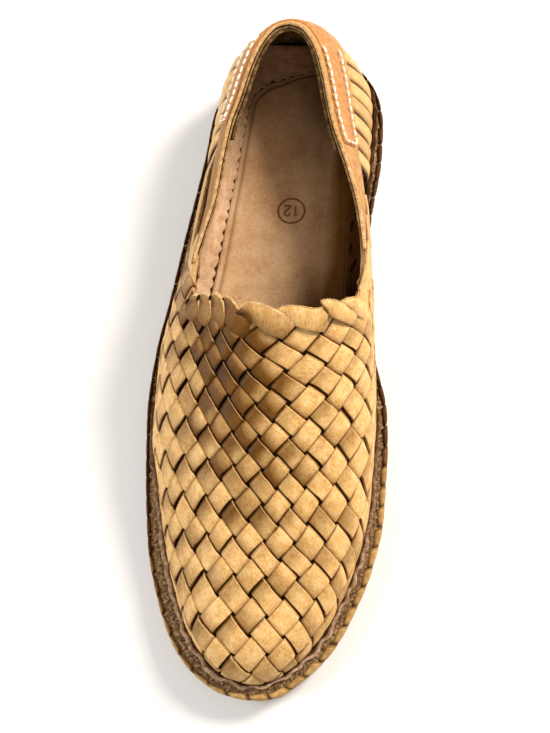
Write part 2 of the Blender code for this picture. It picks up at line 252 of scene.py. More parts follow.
class Last:
    """The upper's outer face, rib by rib.

    open_grid goes straight on past the sole line and the top edge, so that strips can be
    laid out on it. worn_grid is the same grid with the part below the sole line drawn in
    under the upper, and the part past the top edge rolled over it.
    """

    def __init__(self):
        open_ribs, worn_ribs = [], []
        for turn in np.linspace(-1, 1, FORM_RIBS):
            points, walked = rib(turn)
            steps = np.linspace(0, walked[-1], FORM_LEVELS)
            wall = line_at(steps, walked, points)
            onward = unit(wall[-1] - wall[-3])
            inward = np.array([-wall[-1][0], LENGTH * 0.62 - wall[-1][1], 0.0])
            inward = unit(inward - onward * (inward @ onward) - 30 * UP)
            low = wall[0] + BELOW[:, None] * UP
            hem = wall[0] - HEM_DEPTH * (1 - np.exp(BELOW / HEM_DEPTH))[:, None] * UP
            high = wall[-1] + ABOVE[:, None] * onward
            bend = np.minimum(ABOVE / ROLL_RADIUS, ROLL_BEND)
            spare = (ABOVE - bend * ROLL_RADIUS)[:, None]
            last_way = math.cos(ROLL_BEND) * onward + math.sin(ROLL_BEND) * inward
            roll = wall[-1] + ROLL_RADIUS * (
                np.sin(bend)[:, None] * onward + (1 - np.cos(bend))[:, None] * inward
            ) + spare * last_way
            open_ribs.append(np.concatenate([low, wall, high]))
            worn_ribs.append(np.concatenate([hem, wall, roll]))
        self.open_grid, self.worn_grid = np.array(open_ribs), np.array(worn_ribs)
        ways = [np.gradient(self.worn_grid, axis=k) for k in (0, 1)]
        self.normals = unit(np.cross(ways[0], ways[1]))
        count = self.open_grid.shape[1]
        corner = np.arange(FORM_RIBS - 1)[:, None] * count + np.arange(count - 1)
        quads = np.stack([corner, corner + count, corner + count + 1, corner + 1], -1)
        self.tree = BVHTree.FromPolygons(
            self.open_grid.reshape(-1, 3).tolist(), quads.reshape(-1, 4).tolist()
        )

    def chart(self, points):
        """Where points lie on the open grid: (rib, level) as fractions, and the spots."""
        flat = np.asarray(points, float).reshape(-1, 3)
        found, where = np.empty_like(flat), np.empty((len(flat), 2))
        width = self.open_grid.shape[1] - 1
        for number, point in enumerate(flat):
            spot, _, face, _ = self.tree.find_nearest(Vector(point))
            column, row = divmod(face, width)
            corner = self.open_grid[column, row]
            ways = (self.open_grid[column + 1, row] - corner,
                    self.open_grid[column, row + 1] - corner)
            step = np.array(spot) - corner
            found[number] = spot
            matrix = np.array([[a @ b for b in ways] for a in ways])
            share = np.linalg.solve(matrix, [step @ way for way in ways])
            where[number] = np.array([column, row]) + np.clip(share, 0, 1)
        shape = np.shape(points)[:-1]
        return where.reshape(*shape, 2), found.reshape(*shape, 3)

    def worn(self, where, lift=0.0):
        """Points on the worn surface at a chart place, raised by lift along its normal."""
        low = np.floor(where).astype(int)
        low = np.clip(low, 0, np.array(self.worn_grid.shape[:2]) - 2)
        a, b = (where - low)[..., 0:1], (where - low)[..., 1:2]
        mixed = []
        for grid in (self.worn_grid, self.normals):
            here, over = grid[low[..., 0], low[..., 1]], grid[low[..., 0] + 1, low[..., 1]]
            up, far = grid[low[..., 0], low[..., 1] + 1], grid[low[..., 0] + 1, low[..., 1] + 1]
            mixed.append(mix(mix(here, over, a), mix(up, far, a), b))
        return mixed[0] + unit(mixed[1]) * np.asarray(lift)[..., None]

    def cast(self, start, way):
        """The outermost spot that a straight line from start meets, or None."""
        found = None
        origin = Vector(start)
        for _ in range(4):
            spot, _, _, _ = self.tree.ray_cast(origin, Vector(way))
            if spot is None:
                break
            found = spot
            origin = spot + Vector(way) * 0.01
        return None if found is None else np.array(found)


last = Last()
SOLE_LEVEL = len(BELOW)
EDGE_LEVEL = len(BELOW) + FORM_LEVELS - 1


# ---------------------------------------------------------------- modelling helpers
def pick(*items):
    """Selects these objects and no others; the first becomes the active one."""
    bpy.ops.object.select_all(action="DESELECT")
    for item in items:
        item.select_set(True)
    if items:
        bpy.context.view_layer.objects.active = items[0]


def corners_of(item):
    """Where the mesh's corners are, in metres."""
    flat = np.empty(len(item.data.vertices) * 3, np.float32)
    item.data.vertices.foreach_get("co", flat)
    return flat.reshape(-1, 3)


def sheet(name, spots, measure=None):
    """A grid of quads with its corners at spots[column][row], and a UV map in millimetres."""
    columns, rows = spots.shape[0] - 1, spots.shape[1] - 1
    pick()
    bpy.ops.mesh.primitive_grid_add(x_subdivisions=columns, y_subdivisions=rows, size=2)
    item = bpy.context.object
    item.name = item.data.name = name
    mesh = item.data
    flat = corners_of(item)
    column = np.rint((flat[:, 0] + 1) / 2 * columns).astype(int)
    row = np.rint((flat[:, 1] + 1) / 2 * rows).astype(int)
    mesh.vertices.foreach_set("co", place(spots[column, row]).astype(np.float32).ravel())
    if measure is None:
        run = [walked_along(line) for line in (spots[:, rows // 2], spots[columns // 2])]
        measure = np.stack(np.meshgrid(*run, indexing="ij"), -1)
    corners = np.empty(len(mesh.loops), np.int32)
    mesh.loops.foreach_get("vertex_index", corners)
    mesh.uv_layers[0].data.foreach_set(
        "uv", measure[column, row][corners].astype(np.float32).ravel()
    )
    mesh.update()
    return item, (column, row)


def mark(item, values):
    """How dark each corner of the mesh is, from 0 to 2, for its material to read: its own darker
    tone and painted shade.
    """
    shade = item.data.attributes.new("shade", "FLOAT", "POINT")
    shade.data.foreach_set("value", np.asarray(values, np.float32).ravel())


def apply_modifiers(item):
    pick(item)
    for modifier in list(item.modifiers):
        bpy.ops.object.modifier_apply(modifier=modifier.name)


def thicken(item, thickness, offset=0.0, materials=(), rim=0, back=0, bevel=0.0):
    """Gives a sheet its thickness; rim and back say how many slots on their materials are."""
    for material in materials:
        item.data.materials.append(material)
    solid = item.modifiers.new("thickness", "SOLIDIFY")
    solid.thickness, solid.offset, solid.use_rim = thickness * MM, offset, True
    solid.material_offset_rim, solid.material_offset = rim, back
    if bevel:
        soften = item.modifiers.new("soft_edge", "BEVEL")
        soften.width, soften.limit_method = bevel * MM, "ANGLE"
        soften.angle_limit = math.radians(50)
    apply_modifiers(item)


def join(items, name):
    """Makes one piece of them."""
    pick(*items)
    if len(items) > 1:
        bpy.ops.object.join()
    items[0].name = items[0].data.name = name
    return items[0]


def finish_piece(item, materials=(), replaces=(), angle=40):
    """Smooth shading, materials, the body it rides on, and the CAD parts it replaces hidden."""
    pick(item)
    bpy.ops.object.shade_smooth_by_angle(angle=math.radians(angle))
    for material in materials:
        item.data.materials.append(material)
    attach(item, "root")
    if replaces:
        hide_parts(*replaces)


def weld(item):
    """Merges corners that lie on one another and turns the faces outwards."""
    pick(item)
    bpy.ops.object.mode_set(mode="EDIT")
    bpy.ops.mesh.select_all(action="SELECT")
    bpy.ops.mesh.remove_doubles(threshold=WELD_DISTANCE * MM)
    bpy.ops.mesh.dissolve_degenerate(threshold=WELD_DISTANCE * MM)
    bpy.ops.mesh.normals_make_consistent(inside=False)
    bpy.ops.object.mode_set(mode="OBJECT")


def ball(segments, rings, radius=1.0):
    pick()
    bpy.ops.mesh.primitive_uv_sphere_add(segments=segments, ring_count=rings, radius=radius)
    return bpy.context.object


def aim(item, spot, way, size):
    """Puts a ball at the spot with its first axis along the way, stretched to millimetres."""
    item.location = place(spot)
    item.rotation_mode = "QUATERNION"
    item.rotation_quaternion = Vector(way).to_track_quat("X", "Z")
    item.scale = Vector(size) * MM


def catmull(points, steps):
    """A curve through the points, with steps samples between two of them."""
    points = np.asarray(points, float)
    ends = 2 * points[0] - points[1], 2 * points[-1] - points[-2]
    full = np.concatenate([ends[0][None], points, ends[1][None]])
    out = []
    for k in range(1, len(full) - 2):
        for part in np.arange(steps) / steps:
            a, b, c, d = full[k - 1 : k + 3]
            out.append(0.5 * (
                2 * b + (c - a) * part + (2 * a - 5 * b + 4 * c - d) * part**2
                + (3 * b - 3 * c + d - a) * part**3
            ))
    out.append(points[-1])
    return np.array(out)


# ---------------------------------------------------------------- materials
def linear(code):
    """An sRGB hex colour as linear RGBA."""
    parts = [int(code[k : k + 2], 16) / 255 for k in (0, 2, 4)]
    return (*[p / 12.92 if p <= 0.04045 else ((p + 0.055) / 1.055) ** 2.4 for p in parts], 1.0)


def add(tree, kind, values=None, links=None, stops=None, **settings):
    """One node: its own settings, its sockets' values and links, and a ramp's stops."""
    item = tree.nodes.new(kind)
    for name, value in settings.items():
        setattr(item, name, value)
    for name, value in (values or {}).items():
        item.inputs[name].default_value = value
    for name, source in (links or {}).items():
        tree.links.new(source, item.inputs[name])
    if stops:
        elements = item.color_ramp.elements
        while len(elements) < len(stops):
            elements.new(1.0)
        for element, (position, colour) in zip(elements, stops):
            element.position, element.color = position, colour
    return item


# Reflections and sheen off the leathers are tinted warm, never blue: painted warm reflection,
# standing in for the light the leather parts bounce onto one another
NEARLY_BLACK, GLOSS_TINT, NAP_TINT = "4A3520", "E4BE92", "D8B48C"


# The mesh's shade, read below, carries painted shade as well as the leather's own darker tone.
def leather(name, colours, pore, depth, rough, fleck, streak=None, on_uv=False,
            shade_colour=None, sheen=0.0, coat=0.0, specular=0.5):
    """Leather: mottled dye, pores and, where asked, a streak and a darker shade.

    colours run from dark to pale. pore is the pores' width and depth how deep they are, in
    millimetres. rough is the lowest and highest roughness, fleck the mottling's size, and
    streak the width and length of marks along the UV map's first axis. shade_colour darkens
    it by the mesh's shade, from 0 to 1, and a shade from 1 to 2 takes it on to nearly black.
    """
    material = bpy.data.materials.new(name)
    material.use_nodes = True
    tree = material.node_tree
    tree.nodes.clear()
    if on_uv:
        where, scale = add(tree, "ShaderNodeUVMap", uv_map="UVMap").outputs["UV"], 1.0
    else:
        where, scale = add(tree, "ShaderNodeTexCoord").outputs["Object"], 1 / MM
    cloud = add(tree, "ShaderNodeTexNoise", {"Scale": scale / fleck, "Detail": 4.0,
                "Roughness": 0.6}, {"Vector": where}).outputs["Fac"]
    fine = add(tree, "ShaderNodeTexNoise", {"Scale": scale / (pore * 2.5), "Detail": 4.0,
               "Roughness": 0.7}, {"Vector": where}).outputs["Fac"]
    tone = add(tree, "ShaderNodeMixRGB", {"Fac": 0.45},
               {"Color1": cloud, "Color2": fine}).outputs["Color"]
    height = fine
    if streak:
        across, along = scale / streak[0], scale / streak[1]
        stretched = add(tree, "ShaderNodeMapping", {"Scale": (along, across, across)},
                        {"Vector": where}).outputs["Vector"]
        lines = add(tree, "ShaderNodeTexNoise", {"Scale": 1.0, "Detail": 3.0,
                    "Roughness": 0.6}, {"Vector": stretched}).outputs["Fac"]
        tone = add(tree, "ShaderNodeMixRGB", {"Fac": 0.4},
                   {"Color1": tone, "Color2": lines}).outputs["Color"]
        height = add(tree, "ShaderNodeMath", {}, {0: fine, 1: lines},
                     operation="ADD").outputs["Value"]
    colour = add(tree, "ShaderNodeValToRGB", links={"Fac": tone}, stops=[
        (0.38, linear(colours[0])), (0.5, linear(colours[1])), (0.62, linear(colours[2])),
    ]).outputs["Color"]
    if shade_colour:
        amount = add(tree, "ShaderNodeAttribute", attribute_name="shade").outputs["Fac"]
        colour = add(tree, "ShaderNodeMixRGB", {"Color2": linear(shade_colour)},
                     {"Fac": amount, "Color1": colour}, blend_type="MULTIPLY").outputs["Color"]
        deep = add(tree, "ShaderNodeMath", {1: 1.0}, {0: amount}, use_clamp=True,
                   operation="SUBTRACT").outputs["Value"]
        colour = add(tree, "ShaderNodeMixRGB", {"Color2": linear(NEARLY_BLACK)},
                     {"Fac": deep, "Color1": colour}, blend_type="MULTIPLY").outputs["Color"]
    roughness = add(tree, "ShaderNodeMapRange", {"From Min": 0.3, "From Max": 0.7,
                    "To Min": rough[1], "To Max": rough[0]}, {"Value": tone}).outputs["Result"]
    normal = add(tree, "ShaderNodeBump", {"Strength": 1.0, "Distance": depth * MM},
                 {"Height": height}).outputs["Normal"]
    shader = add(tree, "ShaderNodeBsdfPrincipled", {
        "IOR": 1.5, "Sheen Weight": sheen, "Coat Weight": coat, "Coat Roughness": 0.36,
        "Specular IOR Level": specular, "Specular Tint": linear(GLOSS_TINT),
        "Sheen Tint": linear(NAP_TINT),
    }, {"Base Color": colour, "Roughness": roughness, "Normal": normal})
    add(tree, "ShaderNodeOutputMaterial", links={"Surface": shader.outputs["BSDF"]})
    return material


# Vegetable-tanned cowhide, waxed and polished by hand: warm, with a soft broad shine
WAXED_STRIP = leather("vegetable_tanned_waxed_strip", ("B78648", "D9AB6B", "ECCA92"), 0.24,
                      0.1, (0.42, 0.6), streak=(2.6, 0.6), fleck=5.0,
                      on_uv=True, shade_colour="7C653A", coat=0.12, specular=0.22)
# The same hide's cut edge, never dyed: pale, dry and fibrous
CUT_EDGE = leather("raw_cut_edge", ("A67C4C", "D0A56E", "EBCB98"), 0.3, 0.12, (0.75, 0.95),
                   fleck=2.5, shade_colour="7A4A1E", sheen=0.2)
# Its flesh side, brushed: a dull fuzzy nap; its shade colour carries painted shade in the rolls'
# mouths, round the slots and on the lining
FLESH_SIDE = leather("brushed_flesh_side", ("5E4226", "8A6741", "B3905F"), 0.5, 0.3,
                     (0.85, 1.0), fleck=3.0, shade_colour="54402A", sheen=0.2, specular=0.2)
# Unfinished sheepskin lining: pinkish, smooth and matt
LINING = leather("unfinished_sheepskin_lining", ("A58361", "C29E7B", "D3B293"), 0.4, 0.08,
                 (0.7, 0.9), fleck=5.0, shade_colour="6E5428", specular=0.06)
# The same skin where the welt squeezes it out: rubbed and ruffled; its shade colour carries
# painted shadow
HEM = leather("rubbed_sheepskin_hem", ("7A5E46", "AA8A6E", "D0B498"), 0.6, 0.3, (0.7, 0.92),
              fleck=1.8, shade_colour="6B563F", sheen=0.1, specular=0.2)
# The insole's leather where a hot die has pressed it
BURNT = leather("die_burnt_insole_leather", ("5E3B22", "77502F", "8D6440"), 0.4, 0.05,
                (0.5, 0.7), fleck=2.0)
# Insole leather, rolled smooth: pinkish brown with a low shine where the foot has polished it
INSOLE = leather("rolled_insole_leather", ("B88F66", "CBA67D", "D8B48E"), 0.5, 0.035,
                 (0.4, 0.6), fleck=13.0, shade_colour="6A5432", specular=0.2)
# Strap leather, dyed through and burnished: even tan, a little glossier than the strips
STRAP_TAN = leather("burnished_strap_leather", ("B07A45", "CB955B", "DBAA74"), 0.25, 0.06,
                    (0.5, 0.7), fleck=4.0, on_uv=True, shade_colour="6F6544", specular=0.25)
# Patch leather at the heel, a redder tan
PATCH_TAN = leather("russet_patch_leather", ("9C6538", "B67C48", "C6905C"), 0.25, 0.05,
                    (0.45, 0.6), fleck=2.5, on_uv=True)
# The heel's inner band: brushed hide, mid brown, fuzzy at the edge
HEEL_FACING = leather("brushed_heel_band", ("3A2918", "5A4228", "86693F"), 0.5, 0.25,
                      (0.85, 1.0), fleck=3.0, specular=0.1)
# Raw split leather of the welt: dark, stringy and rough
RAW_WELT = leather("raw_split_welt", ("402B18", "7A5B3C", "B59570"), 0.55, 0.6, (0.85, 1.0),
                   fleck=1.3, sheen=0.15, specular=0.2)
# The thong that whips the edge: narrow-cut tan leather, darker on the lateral side, at the waist
# and at each turn's edges
THONG = leather("whip_stitch_thong", ("97703F", "C39A5E", "DFBC84"), 0.35, 0.1, (0.5, 0.75),
                streak=(0.6, 4.0), fleck=3.0, on_uv=True, shade_colour="6A5033", specular=0.3)
# Stacked sole leather, its edge inked brown and its face plain
SOLE_LEATHER = leather("stacked_sole_leather", ("6E4626", "94643A", "B0804F"), 0.5, 0.12,
                       (0.5, 0.75), streak=(0.9, 12.0), fleck=8.0)
HEEL_LEATHER = leather("stacked_heel_leather", ("472C17", "6A4526", "8A6139"), 0.5, 0.12,
                       (0.5, 0.75), fleck=6.0)
# Waxed cotton sewing thread: off-white and matt
THREAD = leather("waxed_cotton_thread", ("D6C8AC", "EFE6D2", "FBF6EA"), 0.2, 0.05,
                 (0.7, 0.85), fleck=1.5, specular=0.3)


# ---------------------------------------------------------------- the weave
STRIP_PITCH = 9.9
WEAVE_PINS = (
    # row, first column, then (across, from_toe) of the corner in each column
    (0, 1, (7, 18.5)),
    (1, -1, (-23.5, 32.5), (-8, 33.5), (6, 33.5), (20, 34)),
    (2, -1, (-21.5, 50.5), (-8.5, 50), (4.5, 49.5), (17.5, 50.5), (31.5, 51)),
    (3, -1, (-21.5, 66), (-10, 65.5), (3, 64.5), (15.5, 64.5), (28, 66), (39, 68.5)),
    (4, -1, (-23, 82), (-11, 80.5), (1.5, 79), (13.5, 79.5), (25, 82), (36.5, 84)),
    (5, -1, (-23, 97), (-11.5, 94.5), (0.5, 93), (12.5, 93.5), (24.5, 96), (35.5, 100.5),
     (44, 108)),
    (6, -2, (-34, 114.5), (-23.5, 110.5), (-13, 108), (-1.5, 106.5), (11.5, 107),
     (24.5, 110.5), (36, 117), (44, 125)),
    (7, -3, (-44.5, 135), (-34.5, 130), (-26, 127), (-15.5, 122.5), (-3.5, 119.5),
     (10, 120.5), (25.5, 125), (36.5, 133.5), (43, 140)),
    (8, -3, (-43.5, 149), (-34.5, 144), (-27, 141), (-18.5, 137), (-7.5, 133), (8, 133.5),
     (24.5, 138.5), (36, 147), (42, 154)),
    (9, -3, (-42, 161.5), (-34.5, 156.5), (-26.5, 153.5), (-20.5, 150), (-11.5, 146.5),
     (5.5, 146), (22.5, 151), (34, 157.5)),
)
NET_ROUNDS = 90
EDGE_PULL, LINE_PULL, FORM_PULL, PIN_PULL = 0.35, 0.5, 2.0, 3.0


def first_guess(first, second):
    """Roughly where a corner of the weave lies, before the net settles; None if off the upper."""
    row, column = (first + second) / 2, (first - second) / 2
    from_toe = 18.5 + 14.2 * row + 0.5 * (column - 1) ** 2
    girth = 13.3 * (column - 0.6 - 0.13 * row)
    drop = max(6.5 - from_toe, 0)
    from_toe = np.array([max(from_toe, 6.5)])
    side = 1 if girth > 0 else -1
    ridge = read(LAST, "ridge", from_toe)[0]
    half = read(LAST, side_name(side), from_toe)[0] - side * ridge
    crest = read(LAST, "crest", from_toe)[0]
    size = 0.55 * (half + crest) + 1
    turn = abs(girth) / size
    across = ridge + side * half * math.sin(min(turn, math.pi / 2))
    rise = crest * math.cos(min(turn, math.pi / 2)) - max(turn - math.pi / 2, 0) * size - drop
    beyond_throat = from_toe[0] > 176 and abs(across) < 38
    past_corner = (column < -1.5 and first > 8) or (column > 3.5 and second > 6)
    if rise < -17 or beyond_throat or past_corner or from_toe[0] > 222:
        return None
    return np.array([across, from_toe[0], seat(from_toe)[0] + rise])


def settle_net():
    """Corners of the weave by strip numbers: pinned, or pulled even and straight on the last."""
    pins = {}
    for row, column, *spots in WEAVE_PINS:
        for step, (across, from_toe) in enumerate(spots):
            spot = last.cast((across, from_toe, 0.0), (0, 0, 1))
            pins[(row + column + step, row - column - step)] = spot
    names, start = [], []
    for first in range(-10, 22):
        for second in range(-10, 22):
            guess = pins.get((first, second))
            if guess is None:
                guess = first_guess(first, second)
            if guess is not None:
                names.append((first, second))
                start.append(guess)
    index = {name: number for number, name in enumerate(names)}
    spots = last.chart(np.array(start))[1]
    pairs, lines = [], []
    for (first, second), number in index.items():
        for ahead, behind in (((first + 1, second), (first - 1, second)),
                              ((first, second + 1), (first, second - 1))):
            if ahead in index:
                pairs.append((number, index[ahead]))
                if behind in index:
                    lines.append((index[behind], number, index[ahead]))
    pairs, lines = np.array(pairs), np.array(lines)
    pinned = np.array([index[name] for name in pins if name in index])
    held = np.array([pins[names[number]] for number in pinned])
    count = len(names)
    blocks = [np.zeros((len(pairs), count)), np.zeros((len(lines), count)),
              np.eye(count) * FORM_PULL, np.zeros((len(pinned), count))]
    rows = np.arange(len(pairs))
    blocks[0][rows, pairs[:, 1]], blocks[0][rows, pairs[:, 0]] = EDGE_PULL, -EDGE_PULL
    rows = np.arange(len(lines))
    for column, weight in zip(lines.T, (1, -2, 1)):
        blocks[1][rows, column] = weight * LINE_PULL
    blocks[3][np.arange(len(pinned)), pinned] = PIN_PULL
    system = np.concatenate(blocks)
    solver = np.linalg.solve(system.T @ system, system.T)
    for _ in range(NET_ROUNDS):
        where, near = last.chart(spots)
        normal = unit(last.worn(where, 1.0) - last.worn(where, 0.0))
        bend = spots[lines[:, 0]] - 2 * spots[lines[:, 1]] + spots[lines[:, 2]]
        across = normal[lines[:, 1]]
        bend = np.sum(bend * across, axis=1, keepdims=True) * across
        wanted = np.concatenate([
            unit(spots[pairs[:, 1]] - spots[pairs[:, 0]]) * STRIP_PITCH * EDGE_PULL,
            bend * LINE_PULL, near * FORM_PULL, held * PIN_PULL,
        ])
        spots = solver @ wanted
    spots = last.chart(spots)[1]
    return {name: spots[number] for name, number in index.items()}


net = settle_net()
STEPS_PER_CELL = 12
STRIP_THICKNESS = 1.2
STRIP_SHARES = np.array([0.0, 0.07, 0.28, 0.5, 0.72, 0.93, 1.0])
OVER_LIFT, UNDER_LIFT = 0.55, -1.4
CROWN = 0.16
SIDE_GAP_SHARE = 0.085
LOW_SIDE_GAP = 0.09


def throat_line(across):
    """How far back the weave reaches over the instep, by the distance across."""
    return np.interp(across, (-37, -29, -20, -14, -11, -6, 2, 9, 16, 20, 23, 30, 34, 37),
                     (166, 164.5, 161.5, 157, 158.5, 158.5, 157, 159, 160.5, 161.5, 163.5,
                      166, 169, 170))


def strip_runs(fixed, along_second):
    """Unbroken runs of numbers where a strip has corners on both its sides."""
    def both(k):
        a, b = ((fixed, k), (fixed + 1, k)) if along_second else ((k, fixed), (k, fixed + 1))
        return a in net and b in net

    runs, run = [], []
    for k in range(-12, 24):
        if both(k):
            run.append(k)
        elif run:
            runs.append(run)
            run = []
    return [run for run in runs if len(run) > 1]


def make_strip(fixed, run, along_second):
    """One strip of the weave as a crowned sheet that goes over one strip and under the next."""
    def corner(side, k):
        return net[(fixed + side, k)] if along_second else net[(k, fixed + side)]

    sides = [catmull([corner(side, k) for k in run], STEPS_PER_CELL) for side in (0, 1)]
    travel = run[0] + np.arange(len(sides[0])) / STEPS_PER_CELL
    sign = 1 if along_second else -1
    wave = sign * np.cos(math.pi * (travel - 0.5 + fixed))
    jitter = np.interp(travel, np.arange(run[0] - 1, run[-1] + 3, 0.5),
                       rng.uniform(-1, 1, 2 * (run[-1] - run[0] + 4)))
    flat_wave = np.clip(wave + 0.05, -1, 1)
    for _ in range(3):
        flat_wave = np.sin(math.pi / 2 * flat_wave)
    lift = (OVER_LIFT + UNDER_LIFT) / 2 + flat_wave * (OVER_LIFT - UNDER_LIFT) / 2
    centre = (sides[0] + sides[1]) / 2
    sunk = ramp(centre[:, 1] - throat_line(centre[:, 0]), -7, -3)
    lift = lift + 0.12 * jitter - 1.1 * sunk * (np.abs(centre[:, 0]) < 34)
    wide, opposite = ramp(sign * centre[:, 0], -8, 32), ramp(-sign * centre[:, 0], 8, 48)
    narrow = SIDE_GAP_SHARE * (1 - 0.5 * opposite) + 0.02 * jitter
    first_gap = (narrow + LOW_SIDE_GAP * wide)[:, None]
    share = first_gap + (1 - first_gap - narrow[:, None]) * STRIP_SHARES
    share = share + 0.022 * np.roll(jitter, 3)[:, None]
    flat = mix(sides[0][:, None], sides[1][:, None], share[..., None])
    where, flat = last.chart(flat)
    crown = CROWN * np.abs(2 * STRIP_SHARES - 1) ** 4
    middle = where[:, 3, 1]
    keep = (middle > SOLE_LEVEL - 5) & (middle < EDGE_LEVEL + 6.5)
    past = flat[:, 3, 1] > throat_line(flat[:, 3, 0]) - 3.0
    keep &= ~(past & (np.abs(flat[:, 3, 0]) < 36) & (flat[:, 3, 2] > 40))
    keep = np.flatnonzero(keep)
    keep = np.arange(keep[0], keep[-1] + 1)
    tilt = 0.45 * (STRIP_SHARES - 0.5) * (sign > 0)
    spots = last.worn(where, lift[:, None] + tilt[None, :] - crown[None, :])[keep]
    run_mm = walked_along(spots[:, 3])
    across_mm = STRIP_SHARES * STRIP_PITCH
    start = rng.uniform(0, 900, 2)
    measure = np.stack(np.meshgrid(run_mm + start[0], across_mm + start[1], indexing="ij"), -1)
    name = "strip_{}_{}".format("left" if along_second else "right", fixed)
    item, (column, row) = sheet(name, spots, measure)
    # Each strip's own tone at random, plus painted shade: strips running to the left a little
    # darker, those running to the right a little lighter, as the light falls on them.
    own = rng.uniform(-0.5, 0.5) + 0.25 * sign
    cells = np.interp(travel + (fixed + (sign < 0)) % 2 / 2, np.arange(-14, 30),
                      rng.uniform(-1, 1, 44))[keep][:, None]
    # Painted shade where each strip dives under the one that crosses it, heavier at one end of
    # each cell.
    painted_dive_shade = 1.5 * ramp(wave[keep], 0.2, -0.3)[:, None] ** 1.3
    painted_dive_shade = painted_dive_shade + 0.3 * np.sin(math.pi * (travel - 0.5 + fixed))[keep][:, None]
    # Painted shade along the strips' long edges, in the gaps between neighbours, heavier on the
    # strips that run to the right.
    painted_edge_shade = (0.15 if sign > 0 else 0.4) * np.abs(2 * STRIP_SHARES - 1) ** 8
    shade = wax_and_painted_shade(spots) + painted_dive_shade + painted_edge_shade + 0.14 * own + 0.38 * cells - 0.03
    # Painted highlight: the last side of each strip that runs to the left is kept pale, as its cut
    # edge is lit.
    if sign > 0:
        shade[:, -1] *= 0.3
    mark(item, np.clip(shade, 0, 2)[column, row])
    return item


def wax_and_painted_shade(spots):
    """How dark the weave is: wax and wear darken it most along the instep, together with painted
    shade there, a little more on the lateral flank, least at the toe.
    """
    across, from_toe = spots[..., 0], spots[..., 1]
    centre = -20 + 0.2 * (150 - from_toe)
    wide = np.where(across < centre, 21, 25)
    instep = np.exp(-(((across - centre) / wide) ** 2)) * ramp(from_toe, 45, 130)
    return 0.04 + 1.15 * instep + 0.06 * ramp(across, 0, -20)


def make_weave():
    """The two families of strips, each joined into one piece."""
    for along_second, name in ((True, "weave_strips_to_left"), (False, "weave_strips_to_right")):
        item = join([make_strip(fixed, run, along_second) for fixed in range(-12, 22)
                     for run in strip_runs(fixed, along_second)], name)
        thicken(item, STRIP_THICKNESS, 0.0, (WAXED_STRIP, CUT_EDGE), rim=1, bevel=0.14)
        finish_piece(item, replaces=("upper",) if along_second else (),
                     angle=50)


make_weave()

# ---------------------------------------------------------------- the throat
FIBRE_SPACING, FIBRE_THICKNESS = 0.3, 0.14
FOLD_THICKNESS, FOLD_EDGE_THICKNESS = 1.0, 0.3


def fringe(edge_line, out, length=0.9):
    """Torn fibres along a raw edge: a thin ribbon whose outer side is ragged."""
    walked = walked_along(edge_line)
    at = np.arange(0, walked[-1], FIBRE_SPACING)
    base = line_at(at, walked, edge_line)
    way = unit(line_at(at, walked, np.broadcast_to(out, edge_line.shape)))
    reach = length * rng.uniform(0.05, 1, len(at)) ** 2 * (1 + np.arange(len(at)) % 2) / 2
    sway = rng.uniform(-0.25, 0.25, (len(at), 3))
    spots = np.stack([base - 0.3 * way, base + 0.35 * reach[:, None] * way + 0.3 * sway,
                      base + reach[:, None] * way + sway], 1)
    item, (column, _) = sheet("fibres", spots)
    mark(item, np.full(len(column), 0.1))
    thicken(item, FIBRE_THICKNESS)
    return item


